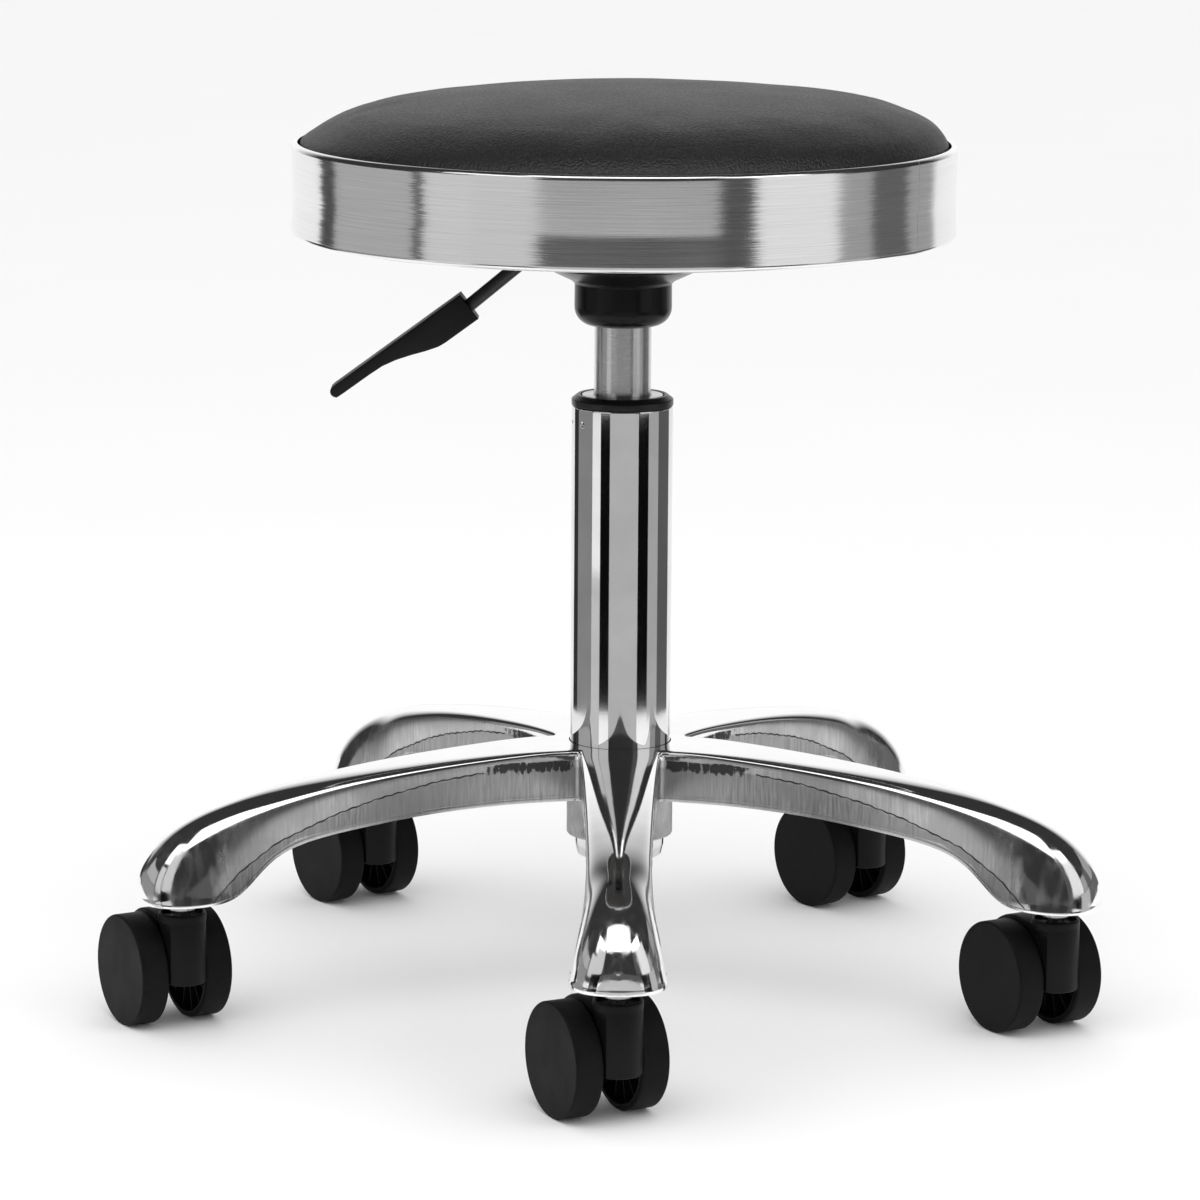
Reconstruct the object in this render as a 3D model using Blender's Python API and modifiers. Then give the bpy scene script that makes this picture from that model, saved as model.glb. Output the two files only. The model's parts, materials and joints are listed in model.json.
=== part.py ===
"""Adjustable swivel stool: five-arm castor base, gas lift and round padded seat.

Metres, +Z up. The stool stands on z = 0 and the middle of its footprint is the world
origin. Every sub-part is placed from the column axis, which the empty "column" carries.
"""
import math

import bmesh
import bpy
from mathutils import Matrix, Vector

# ---------------------------------------------------------------- driving dimensions
GAP = 0.0003                      # running clearance between neighbouring solids
CUT_PAST = 0.0050                 # how far a cutter runs on beyond the face it cuts
SINK = 0.0010                     # how far a welded part is sunk into its neighbour
COLUMN_X, COLUMN_Y = 0.0105, 0.0058   # column axis, measured from the footprint's middle

# Five-arm base
ARM_COUNT = 5
FIRST_ARM = math.radians(-90)     # the first arm points along -Y
STEM_CIRCLE_R = 0.224             # radius of the circle on which the castor stems stand
HUB_TOP_Z = 0.1316                # where the lift tube meets the top of the hub
CROTCH_R = 0.0375                 # radius of the corner between two neighbouring arms
HUB_RIM_Z = 0.1062                # lower edge of the arms where they meet
HUB_RING_OUT = 0.0012             # the hub's flat top reaches this far round the tube
HUB_BOSS_R, HUB_BOSS_Z = 0.0264, 0.0842   # boss under the hub and its lower end
HUB_BOSS_TOP_Z = 0.1250           # where the boss ends inside the hub
ARM_ROOT_R = 0.0420               # where an arm's crown line leaves the hub
CROTCH_WALL_DROP, CROTCH_EDGE_DROP = 0.0074, 0.0018   # rounding of the corner's top
CROTCH_EDGE_IN = 0.0014
CROTCH_DRAFT = 0.0010             # the corner leans in by this much towards the rim
ARM_WALL = 0.0035                 # thickness of the cast side walls
ROOF_WALL = 0.0047                # thickness of the arm's top over its middle line
POCKET_STATIONS = 6               # the hollow follows the first stations only
# Stations along an arm: distance from the column, crown height, half width, and the half
# width and height of the rim. Towards the foot the walls flare out to the rim.
ARM_STATIONS = (
    (0.062, 0.1314, 0.0180, 0.0170, HUB_RIM_Z),
    (0.100, 0.1286, 0.0166, 0.0157, 0.1042),
    (0.140, 0.1239, 0.0157, 0.0148, 0.0985),
    (0.170, 0.1188, 0.0153, 0.0146, 0.0930),
    (0.186, 0.1150, 0.0156, 0.0158, 0.0840),
    (0.199, 0.1114, 0.0166, 0.0188, 0.0684),
    (0.214, 0.1060, 0.0184, 0.0222, 0.0660),
    (0.229, 0.0975, 0.0190, 0.0228, 0.0660),
    (0.2395, 0.0862, 0.0165, 0.0186, 0.0660),
)
CROWN_RISE = 0.0004               # the top is very slightly domed across the arm
SHOULDER_IN, SHOULDER_DROP = 0.0030, 0.0014   # where the crown turns over its edge
WALL_DROP = 0.0062                # how far below the crown the side wall starts
FOOT_TIP_R, FOOT_RIM_Z = 0.2462, 0.0660   # front of the foot and its lower edge
# Front wall of a foot: offset across the arm and height, from rim to rim
FOOT_NOSE = (
    (-0.0112, FOOT_RIM_Z), (-0.0100, 0.0742), (0, 0.0755), (0.0100, 0.0742),
    (0.0112, FOOT_RIM_Z),
)
FOOT_BOSS_R, FOOT_BOSS_Z, FOOT_BOSS_TOP_Z = 0.0100, 0.0648, 0.0720   # ring under a foot
STEM_BORE_R, STEM_BORE_TOP = 0.0059, 0.0960

# Lift tube and guide bushing
TUBE_R, TUBE_WALL = 0.0250, 0.0018
TUBE_TOP_Z, TUBE_END_Z = 0.3000, 0.0738
TUBE_END_R = 0.0222               # the tube's lower end is a slender cone
TUBE_FLOOR_Z, TUBE_FLOOR = 0.0790, 0.0025
TUBE_SHOULDER = 0.0005            # step from the tube's wall to its cone, just above the hub
TUBE_NOSE_H, TUBE_NOSE_IN = 0.0050, 0.0012   # rounding of the cone's lower end
TUBE_MOUTH_IN = 0.0010            # the open lower end is this much narrower than the bore
COLLAR_R, COLLAR_EDGE_Z, COLLAR_TOP_Z = 0.0251, 0.3031, 0.3055
COLLAR_FACE_R, BUSHING_END_Z = 0.0218, 0.2320
INSERT_R, INSERT_Z, INSERT_SINK = 0.0200, 0.3036, 0.0002

# Gas cylinder and piston
CYLINDER_R, CYLINDER_BORE_R = 0.0140, 0.0122
CYLINDER_TOP_Z, CYLINDER_END_Z = 0.3800, 0.1240
CYLINDER_TAPER_Z, CYLINDER_TIP_R = 0.3450, 0.0132
CYLINDER_EDGE_IN, CYLINDER_EDGE_H = 0.0008, 0.0012   # broken edge at the top
CYLINDER_ROOF_LOW, CYLINDER_ROOF_HIGH = 0.0020, 0.0040   # cone that closes the bore
GUIDE_IN, GUIDE_H = 0.0010, 0.0110        # end guide: depth in the bore and height
ROD_R, ROD_END_R, ROD_END_Z, ROD_TOP_Z = 0.0050, 0.0042, 0.0760, 0.2500
PISTON_R, PISTON_Z, PISTON_H = 0.0117, 0.2360, 0.0110
SEAL_GROOVE, SEAL_OUT = 0.0022, 0.0001    # size of the seal's groove, how far it stands out
NUT_R, NUT_H = 0.0085, 0.0026
BUMPER_R, BUMPER_H, BUMPER_EDGE_IN, BUMPER_EDGE_H = 0.0120, 0.0100, 0.0015, 0.0020
WASHER_R, WASHER_H, BEARING_R, BEARING_H = 0.0110, 0.0010, 0.0102, 0.0020
CLIP_R, CLIP_H = 0.0090, 0.0010
PIN_R, PIN_TOP_Z, PIN_LENGTH, PIN_EDGE = 0.0034, 0.3860, 0.0300, 0.0006

# Seat
BAND_R, BAND_WALL = 0.1623, 0.0012
BAND_Z, BAND_TOP_Z = 0.3848, 0.4299
BAND_LIP_R, BAND_FOOT_R = 0.1591, 0.1575   # inner edges of the rolled top and bottom lips
BAND_ROLL, BAND_ROLL_H = 0.0022, 0.0055    # rounding of both edges and where it ends
BAND_DISH, BAND_CORNER_H = 0.0005, 0.0030  # wall set back between the edges, inner corner
BOARD_R, BOARD_Z, BOARD_H = 0.1560, 0.3970, 0.0140
CUSHION_R, CUSHION_CROWN_Z = 0.1585, 0.4580
CUSHION_EDGE = 0.0040                      # broken lower edge of the cushion
# Crown of the cushion: distance from its middle and height
CUSHION_CROWN = (
    (0, CUSHION_CROWN_Z), (0.060, 0.4563), (0.104, 0.4524), (0.127, 0.4484),
    (0.140, 0.4440), (0.149, 0.4394), (0.155, 0.4346),
)
CUSHION_EDGE_Z = 0.4290                    # where the crown meets the upright edge
PLATE_SIDE, PLATE_H, PLATE_CORNER = 0.1400, 0.0030, 0.0120
SOCKET_R, SOCKET_END_Z, HEAD_ROOM = 0.0175, 0.3500, 0.0010
LUG_IN, LUG_OUT, LUG_HALF = 0.0062, 0.0086, 0.0060   # pivot lugs: inner, outer side, half length
PIN_ROOM_R, PIN_ROOM_DIP = 0.0100, 0.0005  # room round the release pin, above the cylinder
# Slot for the lever: how far it reaches from the axis, half its width, depth under the lever
SLOT_REACH, SLOT_HALF, SLOT_DEPTH, SLOT_PAST = 0.0300, 0.0060, 0.0082, 0.0001
SCREW_OFFSET, SCREW_R, SCREW_HEAD_R = 0.0560, 0.0022, 0.0042
SCREW_TIP_H, SCREW_REST, SCREW_STEPS = 0.0020, 0.0030, 12   # point, wood left above, sides
SCREW_HEAD_H, SCREW_CROWN_H, SCREW_FACE = 0.0024, 0.0026, 0.7
BELL_R, BELL_Z, BELL_NECK_Z, BELL_ROUND = 0.0240, 0.3397, 0.3607, 0.0088
BELL_DISH_R, BELL_DISH_Z, BELL_WALL = 0.0400, 0.3686, 0.0018
BELL_NECK_OUT, BELL_NECK_UP, BELL_NECK_DIP = 0.0016, 0.0012, 0.0006   # fillet at the neck
BELL_SEAT = 0.0015                         # flat ring inside, round the cylinder
# Window for the lever: inner and outer reach from the axis, half width, height over the dish
WINDOW_NEAR, WINDOW_FAR, WINDOW_HALF, WINDOW_UP = 0.0250, 0.0500, 0.0065, 0.0035

# Release lever
LEVER_ROD_R, LEVER_TIP_X, LEVER_BEND = 0.0033, 0.0035, 0.0060
LEVER_Z, PIVOT_X = 0.3896, -0.0240          # height of the lever's inner run, its pivot
PIVOT_R, PIVOT_PIN_R, PIVOT_PIN_L, BARREL_L = 0.0038, 0.0018, 0.0180, 0.0116
LEVER_TUCK = 0.0220                         # length of rod inside the grip
ROD_SLOPE, GRIP_SLOPE = math.radians(39.6), math.radians(36.3)
GRIP_END = (-0.0753, 0.3489)                # middle of the grip's end face, X and Z
GRIP_WIDTH, GRIP_EDGE = 0.0150, 0.0009
# Grip outline: distance along the straight upper edge, depth below that edge
GRIP_OUTLINE = (
    (0.0, 0.0), (0.0777, 0.0), (0.0801, 0.0012), (0.0808, 0.0030), (0.0790, 0.0057),
    (0.0600, 0.0059), (0.0520, 0.0062), (0.0450, 0.0076), (0.0372, 0.0101),
    (0.0300, 0.0128), (0.0236, 0.0148), (0.0, 0.0150),
)

# Castors
WHEEL_R, WHEEL_W, PAIR_W = 0.0275, 0.0142, 0.0480
TRAIL = 0.0210                              # axle distance behind the stem
HOUSING_W, HOUSING_TOP_Z, HOUSING_END_Z = 0.0184, 0.0593, 0.0240
FENDER_R, SOCKET_BOSS_R, SOCKET_BOSS_Z = 0.0292, 0.0118, 0.0535
BOSS_STEPS, STEM_ROOM = 16, 0.0060          # sides of the top boss, floor under the stem
HOUSING_NECK = 0.0060                       # the body's upright reaches this far behind the stem
FENDER_START, FENDER_END = 118, -8          # degrees round the axle, from the front to the back
AXLE_BOSS_R = 0.0075
RECESS_R, RECESS_DEPTH = 0.0104, 0.0018     # dish in the top of the body round the stem
STEM_R, STEM_TOP_Z, STEM_EDGE_IN, STEM_EDGE_H = 0.0042, 0.0900, 0.0008, 0.0010
STEM_COLLAR_R, STEM_COLLAR_Z, STEM_COLLAR_H = 0.0070, 0.0600, 0.0028
GRIP_RING_Z, GRIP_RING_TOP_Z = 0.0700, 0.0860
AXLE_R, AXLE_LENGTH, AXLE_BORE_L, AXLE_DEPTH = 0.0029, 0.0380, 0.0400, 0.0108
WHEEL_HUB_R, WHEEL_RIM, WHEEL_WEB, WHEEL_HUB_GAP = 0.0060, 0.0032, 0.0092, 0.0004
WHEEL_EDGE_IN, WHEEL_EDGE_H = 0.0007, 0.0008
# Turn of each castor about its stem, degrees from the +X direction to its axle
CASTOR_TURNS = (27.1, 29.9, 35.8, 33.6, 30.0)

ROUND_STEPS, SMALL_STEPS, SEAT_STEPS, WHEEL_STEPS = 24, 12, 40, 20


# ---------------------------------------------------------------- scene and materials
def clear_scene():
    for obj in list(bpy.data.objects):
        bpy.data.objects.remove(obj, do_unlink=True)


def new_collection(name):
    collection = bpy.data.collections.new(name)
    bpy.context.scene.collection.children.link(collection)
    return collection


def make_material(name, colour, roughness, metallic=0.0):
    material = bpy.data.materials.new(name)
    material.use_nodes = True
    shader = material.node_tree.nodes["Principled BSDF"]
    shader.inputs["Base Color"].default_value = (*colour, 1.0)
    shader.inputs["Roughness"].default_value = roughness
    shader.inputs["Metallic"].default_value = metallic
    material.diffuse_color = (*colour, 1.0)
    return material


clear_scene()
STOOL = new_collection("swivel_stool")
CUTTERS = new_collection("cutters")
FINISH = {
    "aluminium": ((0.86, 0.86, 0.87), 0.12, 1.0),
    "chrome": ((0.80, 0.80, 0.82), 0.06, 1.0),
    "steel": ((0.62, 0.62, 0.63), 0.28, 1.0),
    "brushed": ((0.70, 0.70, 0.71), 0.30, 1.0),
    "brass": ((0.75, 0.58, 0.28), 0.30, 1.0),
    "black_gloss": ((0.010, 0.010, 0.011), 0.22, 0.0),
    "black_matte": ((0.018, 0.018, 0.019), 0.55, 0.0),
    "black_paint": ((0.020, 0.020, 0.021), 0.38, 0.0),
    "rubber": ((0.022, 0.022, 0.022), 0.80, 0.0),
    "plywood": ((0.52, 0.36, 0.20), 0.65, 0.0),
    "leather": ((0.012, 0.012, 0.013), 0.50, 0.0),
}


# ---------------------------------------------------------------- shape helpers
def add_object(name, data, finish, parent, location=(0, 0, 0), rotation=(0, 0, 0)):
    """Put mesh or curve data into the stool as a named sub-part under its parent."""
    obj = bpy.data.objects.new(name, data)
    obj.location = location
    obj.rotation_euler = rotation
    obj.parent = parent
    if finish is None:
        CUTTERS.objects.link(obj)
        obj.hide_render = True
        obj.display_type = "WIRE"
    else:
        STOOL.objects.link(obj)
        data.materials.append(make_material(name, *FINISH[finish]))
    return obj


def add_empty(name, parent=None, location=(0, 0, 0), turn=0.0):
    empty = bpy.data.objects.new(name, None)
    empty.empty_display_size = 0.02
    empty.location = location
    empty.rotation_euler = (0, 0, turn)
    empty.parent = parent
    STOOL.objects.link(empty)
    return empty


def turned(name, profile, finish, parent, steps=ROUND_STEPS, **place):
    """Turn a profile of (radius, height) points, outer side first from top to bottom.

    A profile whose two ends lie on the axis is a solid; any other one is closed into a ring.
    """
    mesh = bpy.data.meshes.new(name)
    shape = bmesh.new()
    verts = [shape.verts.new((radius, 0, height)) for radius, height in profile]
    for lower, upper in zip(verts, verts[1:]):
        shape.edges.new((lower, upper))
    if profile[0][0] > 0 or profile[-1][0] > 0:
        shape.edges.new((verts[-1], verts[0]))
    shape.to_mesh(mesh)
    shape.free()
    obj = add_object(name, mesh, finish, parent, **place)
    screw = obj.modifiers.new("turn", "SCREW")
    screw.axis = "Z"
    screw.angle = math.tau
    screw.steps = screw.render_steps = steps
    screw.use_merge_vertices = True
    screw.merge_threshold = 0.00001
    return obj


def ring_profile(inner, outer, low, high):
    """Rectangular section of a washer, sleeve or ring."""
    return [(outer, high), (outer, low), (inner, low), (inner, high)]


def rod_profile(radius, low, high):
    return [(0, high), (radius, high), (radius, low), (0, low)]


def arc(centre_r, centre_z, radius, start, end, count):
    """Points of a circular arc in a profile plane, angles in degrees."""
    angles = [math.radians(start + (end - start) * i / count) for i in range(count + 1)]
    return [(centre_r + radius * math.cos(a), centre_z + radius * math.sin(a)) for a in angles]


def outline_solid(name, points, thickness, finish, parent, **place):
    """Extrude a flat outline, drawn in local X and Y, evenly to both sides of its plane."""
    curve = bpy.data.curves.new(name, "CURVE")
    curve.dimensions = "2D"
    curve.fill_mode = "BOTH"
    curve.extrude = thickness / 2
    spline = curve.splines.new("POLY")
    spline.points.add(len(points) - 1)
    for point, (x, y) in zip(spline.points, points):
        point.co = (x, y, 0, 1)
    spline.use_cyclic_u = True
    obj = add_object(name, curve, finish, parent, **place)
    return as_mesh(obj)


def as_mesh(obj):
    """Replace a curve object by a mesh object with welded caps."""
    bpy.context.view_layer.update()
    depsgraph = bpy.context.evaluated_depsgraph_get()
    mesh = bpy.data.meshes.new_from_object(obj.evaluated_get(depsgraph))
    shape = bmesh.new()
    shape.from_mesh(mesh)
    bmesh.ops.remove_doubles(shape, verts=shape.verts, dist=0.00001)
    bmesh.ops.recalc_face_normals(shape, faces=shape.faces)
    shape.to_mesh(mesh)
    shape.free()
    name, parent, matrix = obj.name, obj.parent, obj.matrix_world.copy()
    collection = obj.users_collection[0]
    hidden = obj.hide_render
    bpy.data.objects.remove(obj, do_unlink=True)
    solid = bpy.data.objects.new(name, mesh)
    collection.objects.link(solid)
    solid.parent = parent
    solid.matrix_world = matrix
    solid.hide_render = hidden
    solid.display_type = "WIRE" if hidden else "TEXTURED"
    return solid


def rod_along(name, points, radius, finish, parent):
    """A round bar that follows the given points."""
    curve = bpy.data.curves.new(name, "CURVE")
    curve.dimensions = "3D"
    curve.bevel_depth = radius
    curve.bevel_resolution = 2
    curve.use_fill_caps = True
    spline = curve.splines.new("POLY")
    spline.points.add(len(points) - 1)
    for point, place in zip(spline.points, points):
        point.co = (*place, 1)
    return as_mesh(add_object(name, curve, finish, parent))


def block(name, low, high, finish, parent):
    """A box between two corners."""
    low, high = Vector(low), Vector(high)
    mesh = bpy.data.meshes.new(name)
    shape = bmesh.new()
    size = Matrix.Diagonal((*(high - low), 1))
    bmesh.ops.create_cube(shape, size=1, matrix=Matrix.Translation((low + high) / 2) @ size)
    shape.to_mesh(mesh)
    shape.free()
    return add_object(name, mesh, finish, parent)


def combine(obj, tool, operation):
    """Add a Boolean that cuts, joins or trims obj with tool."""
    modifier = obj.modifiers.new(tool.name, "BOOLEAN")
    modifier.object = tool
    modifier.operation = operation
    modifier.solver = "EXACT"


def shade_round(obj):
    obj.data.shade_smooth()
    obj.data.set_sharp_from_angle(angle=math.radians(35))


# ---------------------------------------------------------------- five-arm base
def arm_section(station):
    """Control points across an arm, from rim to rim over the crown: (offset, height)."""
    _, crown, half, rim_half, rim = station
    side = [
        (rim_half, rim),
        (half, crown - WALL_DROP),
        (half - SHOULDER_IN, crown - SHOULDER_DROP),
    ]
    return [(-v, z) for v, z in side] + [(0, crown + CROWN_RISE)] + side[::-1]


def crotch_section():
    """Control points on the line between two arms, from rim to hub edge: (radius, height)."""
    return [
        (CROTCH_R - CROTCH_DRAFT, HUB_RIM_Z),
        (CROTCH_R, HUB_TOP_Z - CROTCH_WALL_DROP),
        (CROTCH_R - CROTCH_EDGE_IN, HUB_TOP_Z - CROTCH_EDGE_DROP),
    ]


def polar(radius, angle, height):
    return Vector((radius * math.cos(angle), radius * math.sin(angle), height))


def arm_frame(angle):
    """Directions along and across the arm that points at the given angle."""
    along = Vector((math.cos(angle), math.sin(angle), 0))
    across = Vector((-math.sin(angle), math.cos(angle), 0))
    return along, across


def base_cage():
    """Coarse closed cage of the whole casting, one 72 degree sector for each arm."""
    shape = bmesh.new()
    sector = math.tau / ARM_COUNT
    angles = [FIRST_ARM + i * sector for i in range(ARM_COUNT)]
    hub_centre = shape.verts.new((0, 0, HUB_TOP_Z))
    hub_floor = shape.verts.new((0, 0, HUB_RIM_Z))
    ring = [
        shape.verts.new(polar(TUBE_R + HUB_RING_OUT, FIRST_ARM + i * sector / 2, HUB_TOP_Z))
        for i in range(2 * ARM_COUNT)
    ]
    crotches = [
        [shape.verts.new(polar(r, angle - sector / 2, z)) for r, z in crotch_section()]
        for angle in angles
    ]
    for i in range(len(ring)):
        shape.faces.new((hub_centre, ring[i], ring[(i + 1) % len(ring)]))
    rims = []
    for index, angle in enumerate(angles):
        along, across = arm_frame(angle)
        right, left = crotches[index], crotches[(index + 1) % ARM_COUNT]
        near = shape.verts.new(along * ARM_ROOT_R + Vector((0, 0, HUB_TOP_Z + CROWN_RISE)))
        rows = [right + [near] + left[::-1]]
        for station in ARM_STATIONS:
            rows.append([
                shape.verts.new(along * station[0] + across * v + Vector((0, 0, z)))
                for v, z in arm_section(station)
            ])
        for row, further in zip(rows, rows[1:]):
            for column in range(6):
                shape.faces.new((
                    row[column], further[column], further[column + 1], row[column + 1],
                ))
            shape.faces.new((row[6], further[6], further[0], row[0]))
        rims += [vert for row in rows for vert in (row[0], row[6])]
        rims += close_foot(shape, rows[-1], along, across)
        top = [ring[(2 * index + k) % len(ring)] for k in (-1, 0, 1)]
        edge = rows[0][2:5]
        for k in range(2):
            shape.faces.new((top[k], edge[k], edge[k + 1], top[k + 1]))
        shape.faces.new((hub_floor, rows[0][6], rows[0][0]))
    bmesh.ops.recalc_face_normals(shape, faces=shape.faces)
    crease_rims(shape, set(rims))
    return shape


def close_foot(shape, last, along, across):
    """Close the nose of a foot with a front wall and the sole behind it; return its rim."""
    nose = [
        shape.verts.new(along * FOOT_TIP_R + across * v + Vector((0, 0, z)))
        for v, z in FOOT_NOSE
    ]
    middle = shape.verts.new(along * FOOT_TIP_R + Vector((0, 0, FOOT_RIM_Z)))
    shape.faces.new((last[0], nose[0], nose[1], last[1]))
    shape.faces.new((last[1], nose[1], last[2]))
    shape.faces.new((last[2], nose[1], nose[2], last[3]))
    shape.faces.new((last[3], nose[2], nose[3], last[4]))
    shape.faces.new((last[4], nose[3], last[5]))
    shape.faces.new((last[5], nose[3], nose[4], last[6]))
    shape.faces.new((nose[0], middle, nose[2], nose[1]))
    shape.faces.new((middle, nose[4], nose[3], nose[2]))
    shape.faces.new((last[0], last[6], nose[4], middle, nose[0]))
    return [nose[0], middle, nose[4]]


def crease_rims(shape, rims):
    """Keep the lower edge of the casting crisp when the cage is subdivided."""
    layer = shape.edges.layers.float.new("crease_edge")
    for edge in shape.edges:
        on_rim = edge.verts[0] in rims and edge.verts[1] in rims
        if on_rim and edge.calc_face_angle() > math.radians(60):
            edge[layer] = 1.0


def make_star_base(parent):
    cage = base_cage()
    mesh = bpy.data.meshes.new("star_base")
    cage.to_mesh(mesh)
    cage.free()
    base = add_object("star_base", mesh, "aluminium", parent)
    smooth = base.modifiers.new("smooth", "SUBSURF")
    smooth.levels = smooth.render_levels = 1
    boss = rod_profile(HUB_BOSS_R, HUB_BOSS_Z, HUB_BOSS_TOP_Z)
    combine(base, turned("hub_boss", boss, None, parent), "UNION")
    for index in range(ARM_COUNT):
        angle = FIRST_ARM + index * math.tau / ARM_COUNT
        combine(base, arm_pocket(index, angle, parent), "DIFFERENCE")
        place = polar(STEM_CIRCLE_R, angle, 0)
        ring = turned(
            f"foot_boss_{index + 1}", rod_profile(FOOT_BOSS_R, FOOT_BOSS_Z, FOOT_BOSS_TOP_Z),
            None, parent, SMALL_STEPS, location=place,
        )
        combine(base, ring, "UNION")
        bore = turned(
            f"stem_bore_{index + 1}",
            rod_profile(STEM_BORE_R, FOOT_BOSS_Z - CUT_PAST, STEM_BORE_TOP),
            None, parent, SMALL_STEPS, location=place,
        )
        combine(base, bore, "DIFFERENCE")
    slope = (TUBE_R - TUBE_END_R) / (HUB_TOP_Z - TUBE_END_Z)
    reach = 2 * CUT_PAST
    cone = [
        (0, HUB_TOP_Z + reach),
        (TUBE_R + GAP + slope * reach, HUB_TOP_Z + reach),
        (TUBE_END_R + GAP - slope * reach, TUBE_END_Z - reach),
        (0, TUBE_END_Z - reach),
    ]
    combine(base, turned("hub_bore", cone, None, parent), "DIFFERENCE")
    return base


def arm_pocket(index, angle, parent):
    """The hollow under one arm, open downwards: a trough that follows the crown."""
    along, across = arm_frame(angle)
    shape = bmesh.new()
    rings = []
    floor = FOOT_RIM_Z - 2 * CUT_PAST
    for radius, crown, half, _, _ in ARM_STATIONS[:POCKET_STATIONS]:
        half -= ARM_WALL
        roof = crown - ROOF_WALL
        corners = ((-half, floor), (-half, roof), (half, roof), (half, floor))
        rings.append([
            shape.verts.new(along * radius + across * v + Vector((0, 0, z)))
            for v, z in corners
        ])
    for near, far in zip(rings, rings[1:]):
        for k in range(4):
            shape.faces.new((near[k], near[(k + 1) % 4], far[(k + 1) % 4], far[k]))
    shape.faces.new(rings[0])
    shape.faces.new(rings[-1])
    bmesh.ops.recalc_face_normals(shape, faces=shape.faces)
    mesh = bpy.data.meshes.new("arm_pocket")
    shape.to_mesh(mesh)
    shape.free()
    return add_object(f"arm_pocket_{index + 1}", mesh, None, parent)


# ---------------------------------------------------------------- lift tube, fixed parts
def make_lift_tube(parent):
    inner = TUBE_R - TUBE_WALL
    inner_end = TUBE_END_R - TUBE_WALL
    floor_top = TUBE_FLOOR_Z + TUBE_FLOOR
    profile = [
        (TUBE_R, TUBE_TOP_Z),
        (TUBE_R, HUB_TOP_Z + TUBE_SHOULDER + GAP),
        (TUBE_R - TUBE_SHOULDER, HUB_TOP_Z + GAP),
        (TUBE_END_R, TUBE_END_Z + TUBE_NOSE_H),
        (TUBE_END_R - TUBE_NOSE_IN, TUBE_END_Z),
        (inner_end - TUBE_MOUTH_IN, TUBE_END_Z),
        (inner_end - TUBE_MOUTH_IN, TUBE_FLOOR_Z),
        (ROD_END_R + GAP, TUBE_FLOOR_Z),
        (ROD_END_R + GAP, floor_top),
        (inner_end, floor_top),
        (inner, HUB_TOP_Z),
        (inner, TUBE_TOP_Z),
    ]
    shade_round(turned("lift_tube", profile, "chrome", parent))


def make_guide_bushing(parent):
    sleeve = TUBE_R - TUBE_WALL - GAP
    bore = CYLINDER_R + GAP
    profile = [
        (COLLAR_FACE_R, COLLAR_TOP_Z),
        (COLLAR_R, COLLAR_EDGE_Z),
        (COLLAR_R, TUBE_TOP_Z + GAP),
        (sleeve, TUBE_TOP_Z + GAP),
        (sleeve, BUSHING_END_Z),
        (bore, BUSHING_END_Z),
        (bore, INSERT_Z),
        (INSERT_R + GAP, INSERT_Z),
        (INSERT_R + GAP, COLLAR_TOP_Z),
    ]
    shade_round(turned("guide_bushing", profile, "black_matte", parent))
    insert = ring_profile(bore, INSERT_R, INSERT_Z + GAP, COLLAR_TOP_Z - INSERT_SINK)
    shade_round(turned("bushing_insert_ring", insert, "aluminium", parent))


def make_thrust_bearing(parent):
    """Washers, ball cage, stop and clip at the lower end of the piston rod."""
    bore = ROD_END_R + GAP
    low = TUBE_FLOOR_Z + TUBE_FLOOR + GAP
    stack = (
        ("thrust_washer_lower", WASHER_R, WASHER_H, "steel"),
        ("thrust_bearing", BEARING_R, BEARING_H, "steel"),
        ("thrust_washer_upper", WASHER_R, WASHER_H, "steel"),
    )
    for name, outer, height, finish in stack:
        ring = ring_profile(bore, outer, low, low + height)
        turned(name, ring, finish, parent, SMALL_STEPS)
        low += height + GAP
    bumper = [
        (BUMPER_R - BUMPER_EDGE_IN, low + BUMPER_H),
        (BUMPER_R, low + BUMPER_H - BUMPER_EDGE_H),
        (BUMPER_R, low),
        (ROD_R + GAP, low),
        (ROD_R + GAP, low + BUMPER_H),
    ]
    turned("bump_stop", bumper, "rubber", parent, SMALL_STEPS)
    clip = ring_profile(bore, CLIP_R, TUBE_FLOOR_Z - GAP - CLIP_H, TUBE_FLOOR_Z - GAP)
    turned("retaining_clip", clip, "steel", parent, SMALL_STEPS)
    return low


# ---------------------------------------------------------------- piston, turning parts
def make_piston(parent, shoulder_z):
    rod = [
        (0, ROD_TOP_Z), (ROD_END_R, ROD_TOP_Z), (ROD_END_R, PISTON_Z - GAP),
        (ROD_R, PISTON_Z - GAP), (ROD_R, shoulder_z), (ROD_END_R, shoulder_z),
        (ROD_END_R, ROD_END_Z), (0, ROD_END_Z),
    ]
    shade_round(turned("piston_rod", rod, "steel", parent, SMALL_STEPS))
    bore = ROD_END_R + GAP
    groove, middle = SEAL_GROOVE, PISTON_Z + PISTON_H / 2
    piston = [
        (PISTON_R, PISTON_Z + PISTON_H), (PISTON_R, middle + groove / 2),
        (PISTON_R - groove, middle + groove / 2), (PISTON_R - groove, middle - groove / 2),
        (PISTON_R, middle - groove / 2), (PISTON_R, PISTON_Z),
        (bore, PISTON_Z), (bore, PISTON_Z + PISTON_H),
    ]
    turned("piston", piston, "brass", parent, SMALL_STEPS)
    seal = ring_profile(
        PISTON_R - groove + GAP, PISTON_R + SEAL_OUT, middle - groove / 2 + GAP,
        middle + groove / 2 - GAP,
    )
    turned("piston_seal", seal, "rubber", parent, SMALL_STEPS)
    nut_z, nut_bore = PISTON_Z + PISTON_H + GAP, bore / math.cos(math.pi / 6)
    nut = ring_profile(nut_bore, NUT_R, nut_z, nut_z + NUT_H)
    turned("piston_nut", nut, "steel", parent, 6)


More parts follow.
